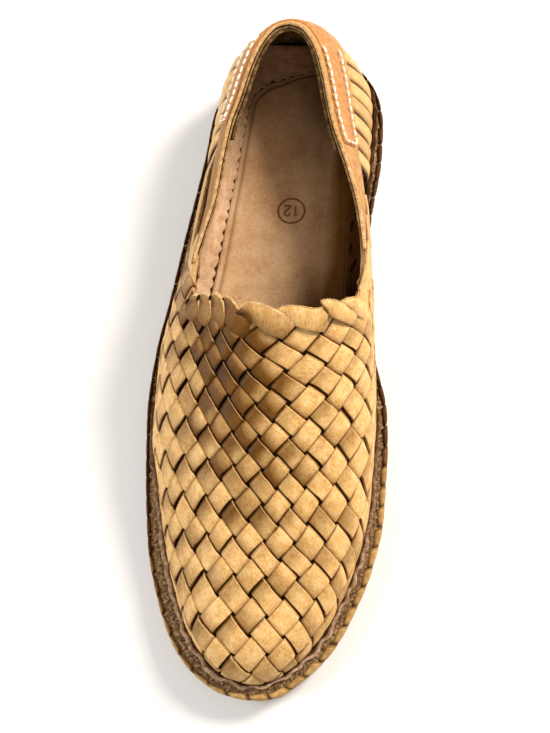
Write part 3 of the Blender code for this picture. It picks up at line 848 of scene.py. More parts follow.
THROAT_FOLDS = (
    # each fold's upper rail and lower rail by (across, from_toe, height), how far it swells,
    # where it turns under, how dark it is, how deep its first and last ends are tucked, and
    # whether its cut edge shows
    (((-37.0, 164.5, 56.5), (-35.2, 166.2, 58.8), (-32.6, 165.2, 61.5), (-31.4, 161.4, 62.0),
      (-31.6, 158.0, 60.6), (-33.2, 155.4, 58.0)),
     ((-38.4, 163.3, 53.0), (-38.6, 161.4, 54.0), (-38.2, 159.0, 54.8), (-36.6, 156.6, 56.4),
      (-35.2, 155.2, 57.0), (-34.0, 154.6, 57.3)), 0.5, (0.5, 1.2, -2.6), 0.75, 1.6, 1.0, True),
    (((-31.6, 164.4, 62.4), (-30.0, 165.6, 63.9), (-27.6, 164.2, 65.4), (-26.0, 160.0, 65.2),
      (-25.6, 156.4, 64.0), (-26.2, 152.6, 62.2)),
     ((-32.4, 161.9, 59.2), (-32.2, 160.0, 60.0), (-32.2, 157.4, 60.0), (-30.8, 154.6, 60.4),
      (-29.0, 152.6, 60.9), (-27.4, 151.4, 61.1)), 0.5, (0.5, 1.2, -2.8), 0.85, 2.2, 1.0, True),
    (((-26.0, 163.2, 65.6), (-24.4, 164.2, 67.4), (-22.0, 162.9, 68.5), (-20.2, 159.4, 67.6),
      (-19.3, 155.2, 66.2), (-18.8, 151.2, 64.9)),
     ((-26.6, 160.4, 62.6), (-26.0, 158.2, 63.4), (-26.2, 156.0, 63.2), (-24.4, 153.4, 63.4),
      (-22.0, 151.2, 63.4), (-20.2, 149.8, 63.4)), 0.5, (0.5, 1.3, -3.0), 0.95, 2.4, 1.0, True),
    (((-20.4, 161.6, 67.4), (-19.0, 162.7, 69.0), (-16.3, 161.0, 69.6), (-13.6, 157.8, 69.4),
      (-10.2, 154.9, 69.0), (-5.4, 151.4, 68.0)),
     ((-20.4, 159.6, 64.2), (-19.9, 157.0, 65.4), (-19.0, 153.6, 66.0), (-17.4, 150.6, 65.5),
      (-14.8, 148.0, 65.0), (-11.2, 145.6, 64.6)), 0.4, (0.6, 1.4, -3.2), 1.0, 2.4, 1.2, True),
    (((-13.9, 156.9, 68.3), (-10.4, 159.2, 70.6), (-6.3, 159.4, 71.4), (-1.9, 158.4, 71.4),
      (1.9, 157.2, 70.9), (6.7, 155.2, 69.8), (11.4, 151.8, 68.2)),
     ((-13.6, 156.0, 68.2), (-9.8, 154.2, 68.6), (-6.0, 151.9, 68.5), (-1.8, 149.3, 68.0),
      (2.3, 147.4, 67.4), (4.6, 146.8, 67.0), (6.4, 146.2, 66.6)), 1.2, (0.2, 1.6, -6.0), 0.5,
     0.4, 0.0, True),
    (((2.6, 157.4, 69.9), (5.6, 158.6, 71.2), (9.7, 159.0, 71.4), (14.8, 158.9, 70.8),
      (19.6, 158.9, 69.6), (25.2, 161.8, 68.0)),
     ((4.4, 155.0, 68.4), (8.0, 153.8, 68.6), (11.2, 152.0, 68.4), (14.6, 150.8, 67.8),
      (18.6, 150.4, 66.9), (23.4, 150.8, 64.8)), 0.4, (0.3, 2.0, -7.0), 0.12, 0.6, 0.0, False),
    (((21.4, 162.4, 69.8), (24.1, 163.4, 69.4), (27.8, 163.6, 67.6), (32.0, 163.4, 64.0),
      (36.2, 162.6, 57.8)),
     ((24.5, 158.2, 67.0), (27.0, 157.2, 65.8), (29.6, 156.8, 63.8), (32.0, 156.8, 61.2),
      (34.6, 157.0, 57.6)), 0.7, (0.4, 1.8, -6.6), 0.08, -0.6, 0.6, False),
    (((29.6, 164.2, 65.4), (32.5, 166.2, 64.2), (35.4, 167.8, 60.8), (38.2, 168.8, 55.2),
      (40.0, 168.6, 48.0), (40.8, 167.0, 43.0)),
     ((33.6, 162.2, 61.0), (35.4, 162.0, 58.6), (37.0, 162.0, 55.6), (38.4, 162.0, 52.0),
      (39.4, 162.0, 48.4), (40.0, 162.0, 45.0)), 0.7, (-0.6, 1.8, -5.6), 0.05, -0.4, 0.6, False),
)


def make_throat():
    """The strips' ends at the throat, folded over its edge and twisted under one another."""
    shares = np.linspace(0, 1, 9)
    pieces, fibres = [], []
    for upper, lower, swell, under, dark, first_tuck, last_tuck, rim in THROAT_FOLDS:
        rails = [catmull(rail, 6) for rail in (upper, lower)]
        stations = np.linspace(0, 1, len(rails[0]))
        begins, ends = ramp(stations, 0.15, 0), ramp(stations, 0.85, 1)
        tuck = first_tuck * begins**2 + last_tuck * ends**2
        body = mix(rails[0][:, None], rails[1][:, None], shares[:, None])
        onward = unit(np.gradient(body, axis=0))
        normal = unit(np.cross(np.gradient(body, axis=1), onward))
        normal = normal * np.sign(normal[..., 2:])
        body = body + normal * (swell * 4 * shares * (1 - shares))[:, None]
        body = body - tuck[:, None, None] * UP
        ragged = rng.uniform(-0.15, 0.15, len(stations))[:, None, None] * np.array([0.3, 1, 0.3])
        turn_in = [body[:, :1] + np.array(under) * part * (1 - 0.4 * stations[:, None, None])
                   for part in (1.0, 0.45)]
        turn_in[1] = turn_in[1] + np.array([0.1, 0.45, 0.5]) + ragged
        item, (column, row) = sheet("fold", np.concatenate([*turn_in, body], 1))
        # Each fold's dark value, darker towards its lower rail, then painted shade at its tucked
        # ends, in the hollow at its first end and over the big twisted fold's concave first third.
        across = np.clip((row - 2) / 8, 0, 1)
        shade = dark + 0.25 * (across - 0.4) + 0.12 * rng.uniform(-1, 1)
        hollow = 1.4 * ramp(stations[column], 0.42, 0) * ramp(across, 0.15, 0.65)
        shade = shade + 0.6 * begins[column] + 0.3 * ends[column] + (0.3 + dark) * hollow
        shade = shade + 0.35 * (swell > 1) * ramp(stations[column], 0.32, 0.12) * across
        mark(item, np.clip(shade, 0, 2))
        thicken(item, FOLD_THICKNESS, 0.0, (WAXED_STRIP, CUT_EDGE), rim=1, bevel=0.15)
        pieces.append(item)
        # A small near-black ball in the mouth of each rolled strip: painted shadow inside the
        # roll.
        if rim and swell < 1:
            first, end = np.array(upper[0]), np.array(lower[0])
            roll_shadow = ball(14, 8)
            aim(roll_shadow, mix(first, end, 0.4) + (-0.3, 0.6, 0.8), end - first, (2.2, 0.9, 1.2))
            bpy.ops.object.transform_apply(location=True, rotation=True, scale=True)
            mark(roll_shadow, np.full(len(roll_shadow.data.vertices), 2.0))
            roll_shadow.data.materials.append(FLESH_SIDE)
            pieces.append(roll_shadow)
        crest = body[:, 0] + np.array([0, 0.4, 0.5])
        if rim:
            away = unit((rails[0] - rails[1]) * (1, 1, 0.2))
            nap = 0.12 * rng.uniform(-1, 1, (len(stations), 1))
            ribbon = [crest + away * (out + nap) + (height + nap) * UP
                      for out, height in ((-1.0, -0.4), (-0.5, 0.3), (0.35, 0.35), (0.85, -0.5),
                                          (0.6, -1.4))]
            item, (column, _) = sheet("cut_edge", np.stack(ribbon, 1)[1:-1])
            mark(item, np.zeros(len(column)))
            thicken(item, FOLD_EDGE_THICKNESS, -1.0, (CUT_EDGE,))
            pieces.append(item)
        fibres.append(fringe(crest, np.array([0.1, 0.8, 0.7])))
    finish_piece(join(fibres, "throat_fibres"), (CUT_EDGE,), angle=50)
    finish_piece(join(pieces, "throat_folds"), angle=50)


make_throat()


# ---------------------------------------------------------------- the sole's layers
def loop_of(spots):
    """A closed walk round a plan outline: its spots, outward ways and distance walked.

    It goes from the middle of the heel by the lateral side and the toe, back by the medial.
    """
    onward = unit(np.roll(spots, -1, axis=0) - np.roll(spots, 1, axis=0))
    outward = np.stack([onward[:, 1], -onward[:, 0]], -1)
    return spots, outward, walked_along(spots)


def outline(rows, inset=0.0, count=1441):
    """The walk round a table's outline; mirrored stations have the same from_toe."""
    turn = np.linspace(-1, 1, count)
    from_toe = unspread(rows, np.abs(turn))
    lateral = np.stack(edge(rows, from_toe, -1, inset), -1)
    medial = np.stack(edge(rows, from_toe, 1, inset), -1)
    return loop_of(np.where((turn < 0)[:, None], lateral, medial))


def on_walk(walk, distance, out=0.0):
    """Plan spots at distances along a walk, moved outward by out."""
    spots, outward, walked = walk
    distance = np.mod(distance, walked[-1])
    spot, way = (line_at(distance, walked, part) for part in (spots, outward))
    return spot + way * np.asarray(out)[..., None]


def waver(distance, length, count, low=-1):
    """Chance values between low and 1 at count knots round a walk, and even between them."""
    knots = np.linspace(0, length, count)
    return np.interp(distance, knots, rng.uniform(low, 1, count), period=length)


def stand(plan, height):
    """Spots in space from plan spots and heights."""
    return np.concatenate([plan, np.broadcast_to(height, plan.shape[:-1])[..., None]], -1)


def layer(name, walk, base, top, side, bottom, bumps=0.0, reach=1.0):
    """A sole layer. top, side and bottom are (out, height) profiles above base, from the
    middle of the top over the edge to the middle of the underside; reach scales out."""
    spots, outward, _ = walk
    spine = np.stack([0 * spots[:, 0], np.clip(spots[:, 1], 45, 270)], -1)
    columns = []
    ends = [mix(spine, spots - 8 * outward, part) for part in (0.0, 0.3, 0.5, 0.65, 0.74)]
    for plan in ends:
        columns.append(stand(plan, base(plan[:, 1]) + top[0][1]))
    for out, height in (*top, *side, *bottom):
        plan = spots + outward * (out * reach)
        rough = bumps * rng.uniform(-1, 1, len(plan)) if -7 < out < 0.5 else 0
        columns.append(stand(plan, base(plan[:, 1]) + height + rough))
    for plan in ends[::-1]:
        columns.append(stand(plan, base(plan[:, 1]) + bottom[-1][1]))
    item, _ = sheet(name, np.stack(columns, 1))
    weld(item)
    return item


SOLE_WALK = outline(SOLE)
BASE_WALK = loop_of(last.worn_grid[:, SOLE_LEVEL, :2])
THONG_PITCH, THONG_WIDTH, THONG_SLANT = 9.4, 8.7, 0.62
THONG_THICKNESS, HEM_THICKNESS = 0.9, 0.7
WELT_GROOVE = ((-8, 0), (-7.2, 0.3), (-6.4, 0.2), (-5.6, 0.45), (-4.9, 0.2), (-4.2, 0.4),
               (-3.5, 0.1), (-2.8, -0.3), (-2.0, -0.6), (-1.2, -0.6), (-0.5, -0.5))


def make_soles():
    """The outsole and the welt that stand for the CAD's layers; the heel lift gets its look."""
    outsole = layer(
        "outsole_layer", SOLE_WALK, tread,
        [(-8, 4.5), (-3, 4.5), (-1.6, 4.5)],
        [(-1.1, 4.3), (-0.9, 3.6), (-0.8, 2.2), (-0.9, 0.9), (-1.2, 0.25)],
        [(-1.7, 0.0), (-8, 0.0)],
    )
    finish_piece(outsole, (SOLE_LEATHER,), ("outsole",))
    welt = layer(
        "welt_layer", SOLE_WALK, lambda y: tread(y) + OUTSOLE_THICKNESS + GAP,
        [(out, height + MIDSOLE_THICKNESS) for out, height in WELT_GROOVE],
        [(-0.2, 3.6), (-0.1, 2.2), (-0.2, 0.8)], [(-0.6, 0.0), (-8, 0.0)], bumps=0.42,
    )
    finish_piece(welt, (RAW_WELT,), ("midsole",), angle=80)
    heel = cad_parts["heel_lift"]
    heel.data.materials.clear()
    heel.data.materials.append(HEEL_LEATHER)


def edge_room():
    """For each spot of the sole's walk, how far in the upper's foot is."""
    gaps = np.linalg.norm(SOLE_WALK[0][:, None] - BASE_WALK[0][None, ::2], axis=-1)
    return gaps.min(axis=1)


def make_thong():
    """The whip stitch: one wide thong wound round the welt's edge, copied turn by turn."""
    profile = catmull([(-3.5, -1.5), (-3.3, -0.3), (-2.5, 0.45), (-1.5, 0.65), (-0.6, 0.45),
                       (0.0, -0.3), (0.35, -1.5), (0.3, -3.3), (0.0, -4.4), (-0.6, -4.8)], 2)
    sides = np.linspace(-1, 1, 7)
    room = edge_room()
    length = SOLE_WALK[2][-1]
    turns = round(length / THONG_PITCH)
    pieces = []
    for turn in range(turns):
        middle = (turn + 0.5 + rng.uniform(-0.05, 0.05)) * length / turns
        inner = np.clip(np.interp(middle, SOLE_WALK[2], room) - 2.4, 2.2, 3.5) / 3.5
        spot = on_walk(SOLE_WALK, np.array([middle]))[0]
        medial, waist = ramp(spot[0], -25, 10), ramp(spot[1], 85, 135)
        inner = inner * (0.5 + 0.45 * medial) * (1 - 0.3 * waist * medial)
        clean = max(medial, ramp(spot[1], 70, 25))
        dark = 0.8 - 0.7 * clean * (1 - waist) + 0.3 * rng.uniform() + 0.3 * waist
        width = THONG_WIDTH * (1 + rng.uniform(-0.05, 0.03))
        spots = np.empty((len(profile), len(sides), 3))
        wave = rng.uniform(-0.12, 0.12, 2)
        for number, (out, height) in enumerate(profile):
            reach = out * inner * (0.8 + 0.2 * sides) if out < 0 else out
            slant = THONG_SLANT * (reach + 2 - min(height, 0) * 0.6)
            crown = 0.32 * np.abs(sides) ** 4 + 0.12 * wave[0] * sides
            sink = crown * np.clip(1 - np.abs(out + 2) / 6, 0.3, 1)
            plan = on_walk(SOLE_WALK, middle + sides * width / 2 + slant,
                           reach - crown * (height < 0.3) * 0.6)
            spots[number] = stand(plan, seat(plan[:, 1]) + height - sink)
        item, (_, row) = sheet("thong_turn", spots)
        mark(item, np.clip(dark + 0.6 * (np.abs(sides[row]) > 0.9), 0, 2))
        pieces.append(item)
    item = join(pieces, "whip_stitch_thong")
    thicken(item, THONG_THICKNESS, -1.0, bevel=0.2)
    finish_piece(item, (THONG,), angle=50)


def make_rand():
    """The lining's turned-out hem: a thin wavy flange that stands on the welt round the upper."""
    length = BASE_WALK[2][-1]
    distance = np.linspace(0, length, 900)
    ruffle, lift = waver(distance, length, 180), waver(distance, length, 180, low=0)
    wave = 0.3 * np.sin(distance / length * 2 * math.pi * round(length / 8.5)) + 0.6 * ruffle
    spot = on_walk(BASE_WALK, distance)
    reach = 1.25 - 0.25 * ramp(spot[:, 0], -25, 0)
    reach = reach * (1 - 0.35 * ramp(spot[:, 1], 150, 180))
    frilled = ramp(spot[:, 1], 110, 60) * ramp(spot[:, 0], -30, -10)
    wave = wave * (0.9 + 0.8 * frilled)
    rows = []
    for out, height, sway in ((-0.8, 0.2, 0), (0.7, 0.2, 0), (1.1, 0.9, 0.3), (2.0, 1.3, 0.7),
                              (2.9, 1.2, 0.9), (3.6, 1.5, 1.2)):
        plan = on_walk(BASE_WALK, distance, out * reach + sway * wave)
        rows.append(stand(plan, seat(plan[:, 1]) + height + sway * 0.9 * (lift - 0.3)))
    spots = np.stack(rows, 1)
    spots[-1] = spots[0]
    item, corners = sheet("turned_out_hem", spots)
    # The rows nearest the upper are painted near black: painted shadow under the weave's
    # overhanging foot. The hem is also darker towards the heel.
    foot = np.array([2, 2, 2, 1.1, 0, 0])
    mark(item, np.maximum(ramp(spots[..., 1], 60, 130), foot)[corners])
    weld(item)
    thicken(item, HEM_THICKNESS, 0.0, (HEM,), bevel=0.15)
    finish_piece(item, angle=50)


make_soles()
make_thong()
make_rand()


# ---------------------------------------------------------------- insole and lining
INSOLE_INSET = LAST["tuck_lateral"].min() + WALL_THICKNESS + INSOLE_CLEARANCE
TUCKED_LAST = dict(LAST)
for name in ("lateral", "medial"):
    TUCKED_LAST[name] = LAST[name] - (LAST["tuck_" + name] - LAST["tuck_lateral"].min())
INSOLE_WALK = outline(TUCKED_LAST, INSOLE_INSET, 721)
CREASE_IN = 10.3
LINING_THICKNESS = 0.8


def painted_inside_shade(spots):
    """How dark the inside is painted: painted shadow along the inner side, which the medial wall
    shades, and painted shade under the vamp; a little darker towards the heel.
    """
    across, from_toe = spots[..., 0], spots[..., 1]
    inner = 0.65 * ramp(across, -5, 13) ** 1.4
    under = ramp(from_toe, 200, 155) * ramp(across, -22, 8)
    heel = 0.3 * ramp(from_toe, 235, 295)
    return np.clip(inner + 0.7 * under + heel, 0, 1)


def mark_inside_shade(item, level=None):
    """Marks a laid piece with painted shade by where its corners lie: along the inner side, under
    the vamp, at the insole's medial edge and in hollows under level.
    """
    spots = corners_of(item) / MM + (-CENTRE_LINE, LENGTH / 2, 0)
    above = spots[:, 2] - seat(spots[:, 1])
    shade = painted_inside_shade(spots) + 1.1 * ramp(spots[:, 0], 23, 31)
    shade = shade + 1.2 * ramp(spots[:, 0], 32, 35) * ramp(above, 6, 4)
    if level is not None:
        shade = shade + np.clip((level - above) / 0.25, 0, 1.2)
    mark(item, np.clip(shade, 0, 2))


def lap_reach(across):
    """How far the lining's hem comes in over the insole: far laterally, hardly medially."""
    return 0.25 + 0.75 * ramp(across, 14, -12)


def make_insole():
    """The insole's cover, with a crease pressed round it where the lining's hem lies."""
    item = layer(
        "insole_cover", INSOLE_WALK, seat,
        [(-12.8, 2.8), (-CREASE_IN - 1.8, 2.8), (-CREASE_IN - 0.9, 2.76), (-CREASE_IN, 2.66),
         (-CREASE_IN + 0.7, 2.74), (-CREASE_IN + 1.5, 2.88), (-7.6, 2.9), (-7.0, 2.5),
         (-5.5, 2.4), (-1, 2.4)],
        [(0.7, 2.3), (0.8, 1.5)], [(0.6, 0.3), (-8, 0.3)],
        reach=lap_reach(INSOLE_WALK[0][:, :1]) * np.interp(
            INSOLE_WALK[0][:, 1:], (185, 211, 255), (1.1, 1.08, 0.95)),
    )
    # Painted shade on the insole: along its inner side, under the vamp, at its medial edge and in
    # its crease and other hollows.
    mark_inside_shade(item, 2.8)
    finish_piece(item, (INSOLE,), ("insole",))


def make_lining():
    """The lining: inside the wall from under the collar down to the insole."""
    ribs = []
    shares = np.linspace(0.03, 1, 26) ** 1.2
    for number in range(0, FORM_RIBS, 2):
        wall = last.worn_grid[number, SOLE_LEVEL:EDGE_LEVEL + 1]
        levels = SOLE_LEVEL + shares * (FORM_LEVELS - (0.7 if wall[-1, 1] > 180 else 2.5))
        past = (wall[:, 1] > throat_line(wall[:, 0]) - 5) & (wall[:, 2] > 45)
        if past.any() and wall[-1, 1] < 178:
            levels = SOLE_LEVEL + shares * (np.argmax(past) - 1.0)
        where = np.stack([np.full(len(levels), float(number)), levels], -1)
        rise = np.clip((levels - SOLE_LEVEL) / FORM_LEVELS * 4.4 - 3.2, 0, 1)
        hug = 2.4 * rise * ramp(wall[-1, 1], 178, 190)
        ribs.append(last.worn(where, -2.9 - 0.5 * (1 - shares) + hug))
    spots = np.array(ribs)
    item, corners = sheet("lining", spots)
    # Painted shade at the foot of the medial wall, and a little of the inside's painted shade.
    foot = ramp(spots[..., 2] - seat(spots[..., 1]), 7, 0) * (spots[..., 0] > 20)
    mark(item, (0.05 * painted_inside_shade(spots) + 0.3 * foot)[corners])
    thicken(item, LINING_THICKNESS, -1.0, (FLESH_SIDE, LINING), back=1)
    cut_slots(item)
    finish_piece(item)


SLOTS = (
    # side, from_toe, height, length, opening, lean in degrees
    (-1, 194, 38, 8, 3.0, 25), (-1, 178, 33, 7, 2.4, 40),
    (1, 219, 21, 7, 3.2, 20), (1, 208, 20, 6, 2.8, 20), (1, 198, 22, 9, 2.2, 55),
    (1, 188, 26, 9, 2.0, 60),
)


def cut_slots(item):
    """Slots punched through the lining where the straps' ends were pulled in; the corners in and
    round each slot are made near black, painted shade inside the holes.
    """
    cutters, turns = [], []
    for side, from_toe, height, length, opening, lean in SLOTS:
        spot = last.cast((0, from_toe, height), (side, 0, 0))
        cutter = ball(20, 10, 0.5)
        cutter.location, cutter.rotation_euler = place(spot), (math.radians(lean), 0, 0)
        cutter.scale = Vector((22, length, opening)) * MM
        bpy.context.view_layer.update()
        turns.append(np.array(cutter.matrix_world.inverted()))
        bpy.ops.object.transform_apply(location=True, rotation=True, scale=True)
        cutters.append(cutter)
    cutter = join(cutters, "slot_cutter")
    cut = item.modifiers.new("slots", "BOOLEAN")
    cut.operation, cut.object, cut.solver = "DIFFERENCE", cutter, "EXACT"
    apply_modifiers(item)
    bpy.data.objects.remove(cutter, do_unlink=True)
    shade = item.data.attributes["shade"].data
    for turn in turns:
        spots = corners_of(item) @ turn[:3, :3].T + turn[:3, 3]
        for number in np.flatnonzero(np.linalg.norm(spots, axis=1) < 0.53):
            shade[number].value = 2


def half_ribs(side):
    """The numbers of one side's ribs, from the toe back to the heel."""
    middle = FORM_RIBS // 2
    return np.arange(middle, FORM_RIBS) if side > 0 else np.arange(middle, -1, -1)


def wall_chart(side, base_toe, share):
    """The chart place on the wall above the sole line at base_toe, share of the way up."""
    half = half_ribs(side)
    base = last.worn_grid[half, SOLE_LEVEL, 1]
    number = np.interp(base_toe, np.maximum.accumulate(base), half)
    return np.stack([number, SOLE_LEVEL + np.asarray(share) * (FORM_LEVELS - 1)], -1)


def make_lap():
    """The lining's lower part: it leaves the wall, bows in and lies on the insole's edge,
    where it is pinked in small scallops."""
    length = INSOLE_WALK[2][-1]
    distance = np.linspace(0, length, 1000)
    loose = waver(distance, length, 110)
    phase = distance / length * 2 * math.pi * round(length / 5.6)
    scallop = 1.3 * np.abs(np.sin(phase / 2 + 0.6 * loose)) + 0.35 * loose
    spot = on_walk(INSOLE_WALK, distance)
    reach = lap_reach(spot[:, 0])
    share = np.interp(spot[:, 1], (110, 175, 205), (0.12, 0.3, 0.72)) * (0.4 + 0.6 * reach)
    where = [wall_chart(side, spot[:, 1], share) for side in (-1, 1)]
    wall = last.worn(np.where(spot[:, :1] < 0, *where), -3.9)
    bend = stand(on_walk(INSOLE_WALK, distance, 0.6), seat(spot[:, 1]) + 8)
    foot = stand(on_walk(INSOLE_WALK, distance, -5.0 * reach),
                 seat(spot[:, 1]) + 1.9 + 2.3 * reach)
    lip = on_walk(INSOLE_WALK, distance, -(6.6 + scallop) * reach)
    rows = [mix(mix(wall, bend, part), mix(bend, foot, part), part)
            for part in (0, 0.15, 0.3, 0.45, 0.6, 0.75, 0.9, 1)]
    rows.append(stand(lip, seat(lip[:, 1]) + 1.7 + (2.4 + 0.3 * np.abs(loose)) * reach))
    spots = np.stack(rows, 1)
    spots[-1] = spots[0]
    item, _ = sheet("lining_lap", spots)
    weld(item)
    # Painted shade on the lap, darkest on its medial lip.
    mark_inside_shade(item)
    thicken(item, LINING_THICKNESS, 0.0, (LINING,), bevel=0.15)
    cut_slots(item)
    finish_piece(item, angle=50)


def pressed_line(name, path, width):
    """A line burnt into the insole along a path of (across, from_toe)."""
    path = np.array(path, float)
    onward = unit(np.gradient(path, axis=0))
    outward = np.stack([onward[:, 1], -onward[:, 0]], -1)
    plan = path[:, None] + outward[:, None] * (np.linspace(-0.5, 0.5, 5) * width)[None, :, None]
    depth = 0.1 * np.array([1, 0, -0.3, 0, 1])
    item, _ = sheet(name, stand(plan, seat(plan[..., 1]) + 2.9 - depth))
    thicken(item, 0.15, -1.0)
    return item


SIZE_SPOT, SIZE_RADIUS = (0.2, 226.6), 6.3


def make_size_mark():
    """The size, a plain 12 in a ring, burnt into the insole and read from the heel."""
    turn = np.linspace(0, 2 * math.pi, 73)
    ring = np.stack([SIZE_SPOT[0] + SIZE_RADIUS * np.cos(turn),
                     SIZE_SPOT[1] + SIZE_RADIUS * np.sin(turn)], -1)
    strokes = [pressed_line("ring", ring, 0.85)]
    one = [(-3.0, 1.9), (-1.9, 2.6), (-1.9, -2.6)]
    two = catmull([(0.6, 1.3), (1.0, 2.2), (2.0, 2.6), (3.0, 2.2), (3.2, 1.2),
                   (2.5, 0.0), (1.4, -1.2), (0.5, -2.5)], 5)
    foot = [(0.4, -2.5), (1.9, -2.5), (3.4, -2.5)]
    for stroke in (one, two, foot):
        path = np.array(SIZE_SPOT) - np.array(stroke)
        dense = [path[k] + (path[k + 1] - path[k]) * part
                 for k in range(len(path) - 1) for part in (0, 0.5)]
        strokes.append(pressed_line("digit", [*dense, path[-1]], 0.7))
    finish_piece(join(strokes, "size_mark"), (BURNT,), angle=30)


make_size_mark()
make_insole()
make_lining()
make_lap()


# ---------------------------------------------------------------- straps and quarters
QUARTER_THICKNESS, QUARTER_PITCH = 1.4, 8.6


def laid_strip(name, side, path, widths, lift, tilt=0.0, shade=0.2):
    """A strip laid on the wall along (base_toe, share) spots; tilt raises its lower side."""
    path = catmull(path, 8)
    stations = np.linspace(0, 1, len(path))
    where = wall_chart(side, path[:, 0], path[:, 1])
    middle = last.worn(where)
    normal = unit(last.worn(where, 1.0) - middle)
    onward = unit(np.gradient(middle, axis=0))
    across = unit(np.cross(normal, onward))
    width = np.interp(stations, np.linspace(0, 1, len(widths)), widths)
    lifts = np.interp(stations, np.linspace(0, 1, len(lift)), lift)
    flat = middle[:, None] + across[:, None] * (
        (STRIP_SHARES - 0.5)[None, :, None] * width[:, None, None])
    spots_at, _ = last.chart(flat)
    raised = lifts[:, None] - 0.3 * np.abs(2 * STRIP_SHARES - 1) ** 2.5
    raised = raised + tilt * side * (STRIP_SHARES - 0.5)
    spots = last.worn(spots_at, raised)
    item, (_, row) = sheet(name, spots)
    own = shade + rng.uniform(-0.08, 0.08) + 0.15 * np.abs(2 * STRIP_SHARES[row] - 1) ** 6
    low = STRIP_SHARES[row] if side > 0 else 1 - STRIP_SHARES[row]
    # Painted shade: the low side of a tilted strip is made near black, the shadow in the slit
    # beside the next strip.
    own = own + (tilt != 0) * 1.6 * ramp(low, 0.66, 1)
    mark(item, np.clip(own, 0, 2))
    thicken(item, QUARTER_THICKNESS, -1.0, (WAXED_STRIP, CUT_EDGE, FLESH_SIDE), rim=1, back=2,
            bevel=0.2)
    return item


def make_quarters():
    """On each side: straps that run back from the vamp, and strips that fan down at the heel."""
    strips = []
    for side in (-1, 1):
        name = side_name(side)
        lean = 15 if side < 0 else 12
        strips += [
            laid_strip("waist_" + name, side, [(118, 0.82), (150, 0.87), (176, 0.87),
                       (188, 0.82), (196, 0.79), (203, 0.78)],
                       (12, 13, 13.5, 13, 8, 1), (-0.9, 0.4, 0.6, 0.7, 0.6, 0.3)),
            laid_strip("waist_" + name, side, [(135, 0.52), (165, 0.6), (192, 0.58), (218, 0.6)],
                       (8, 8, 7, 5), (-1.2, 0.3, 0.4, -0.2)),
            laid_strip("waist_" + name, side, [(158, 0.3), (184, 0.35), (206, 0.4), (230, 0.55)],
                       (7.5, 7.5, 6.5, 4), (-1.2, 0.1, 0.3, -0.4)),
        ]
        half = last.worn_grid[half_ribs(side), SOLE_LEVEL]
        walked = walked_along(half)
        first = np.interp(243.0, half[:, 1], walked)
        count = round((walked[-1] - first) / QUARTER_PITCH)
        stops = np.linspace(first, walked[-1], count + 1)
        if side < 0:
            stops = stops[:-1]
            strips.append(laid_strip(
                "waist_" + name, side, [(192, 0.62), (214, 0.64), (236, 0.68), (254, 0.8)],
                (5, 7, 6, 2), (0.3, 1.8, 2.4, 0.6), shade=0.35))
        for number, base in enumerate(np.interp(stops, walked, half[:, 1])):
            lean_here = lean * ramp(base, 309, 269)
            strips.append(laid_strip(
                "quarter_" + name, side,
                [(base, -0.02), (base + lean_here * 0.3, 0.3), (base + lean_here * 0.6, 0.6),
                 (base + lean_here, 0.85)],
                (8.0, 7.6, 7.2, 6.6),
                (-0.3, 0.1, 0.0, -0.6) if side > 0 else (0.4, 2.2, 2.2, 0.2),
                tilt=-1.3, shade=0.12 + 0.1 * (number % 2)))
    finish_piece(join(strips, "quarter_strips"), angle=50)


COLLAR_STEPS = np.linspace(0, 1, 1500)
COLLAR_TOPS = spline(np.linspace(0, 1, len(RIBS["top"])), RIBS["top"], COLLAR_STEPS)
COLLAR_COLUMNS, COLLAR_ROWS = 160, 6


def collar_chart(side, along, down):
    """The chart place down from the collar's edge, along from the toe on one side."""
    _, walked = rib(side * along)
    level = EDGE_LEVEL - np.maximum(down, 0) / walked[-1] * (FORM_LEVELS - 1)
    return np.stack(np.broadcast_arrays((side * along + 1) / 2 * (FORM_RIBS - 1), level), -1)


def collar_sheet(name, first_toes, near, width, lift):
    """A band round the collar, its ends at first_toes on the lateral and medial sides.

    near is how far its upper edge is below the collar, and width(side, top) how far its
    lower edge is.
    """
    starts = np.interp(first_toes, COLLAR_TOPS, COLLAR_STEPS)
    columns = []
    for turn in np.linspace(-1, 1, COLLAR_COLUMNS + 1):
        side, start = (-1, starts[0]) if turn < 0 else (1, starts[1])
        along = 1 - abs(turn) * (1 - start)
        top = np.interp(along, COLLAR_STEPS, COLLAR_TOPS)
        down = np.linspace(near, width(side, top), COLLAR_ROWS + 1)
        above = np.maximum(-down, 0)[:, None] * UP
        columns.append(last.worn(collar_chart(side, along, down), lift) + above)
    return sheet(name, np.array(columns))


# by side: stations along the collar, and how far down the worn strap reaches at each
WORN_STRAP = {
    -1: ((184, 195, 204, 212, 222, 240, 252, 272, 300), (2, 3, 4, 5.5, 7.5, 9.5, 12, 16, 20)),
    1: ((194, 200, 206, 212, 220, 228, 236, 244, 272, 300),
        (-0.4, 1, 3, 5.5, 9, 11.5, 14, 16.5, 18, 19)),
}


def strap_width(side, top):
    return np.interp(top, *WORN_STRAP[side])


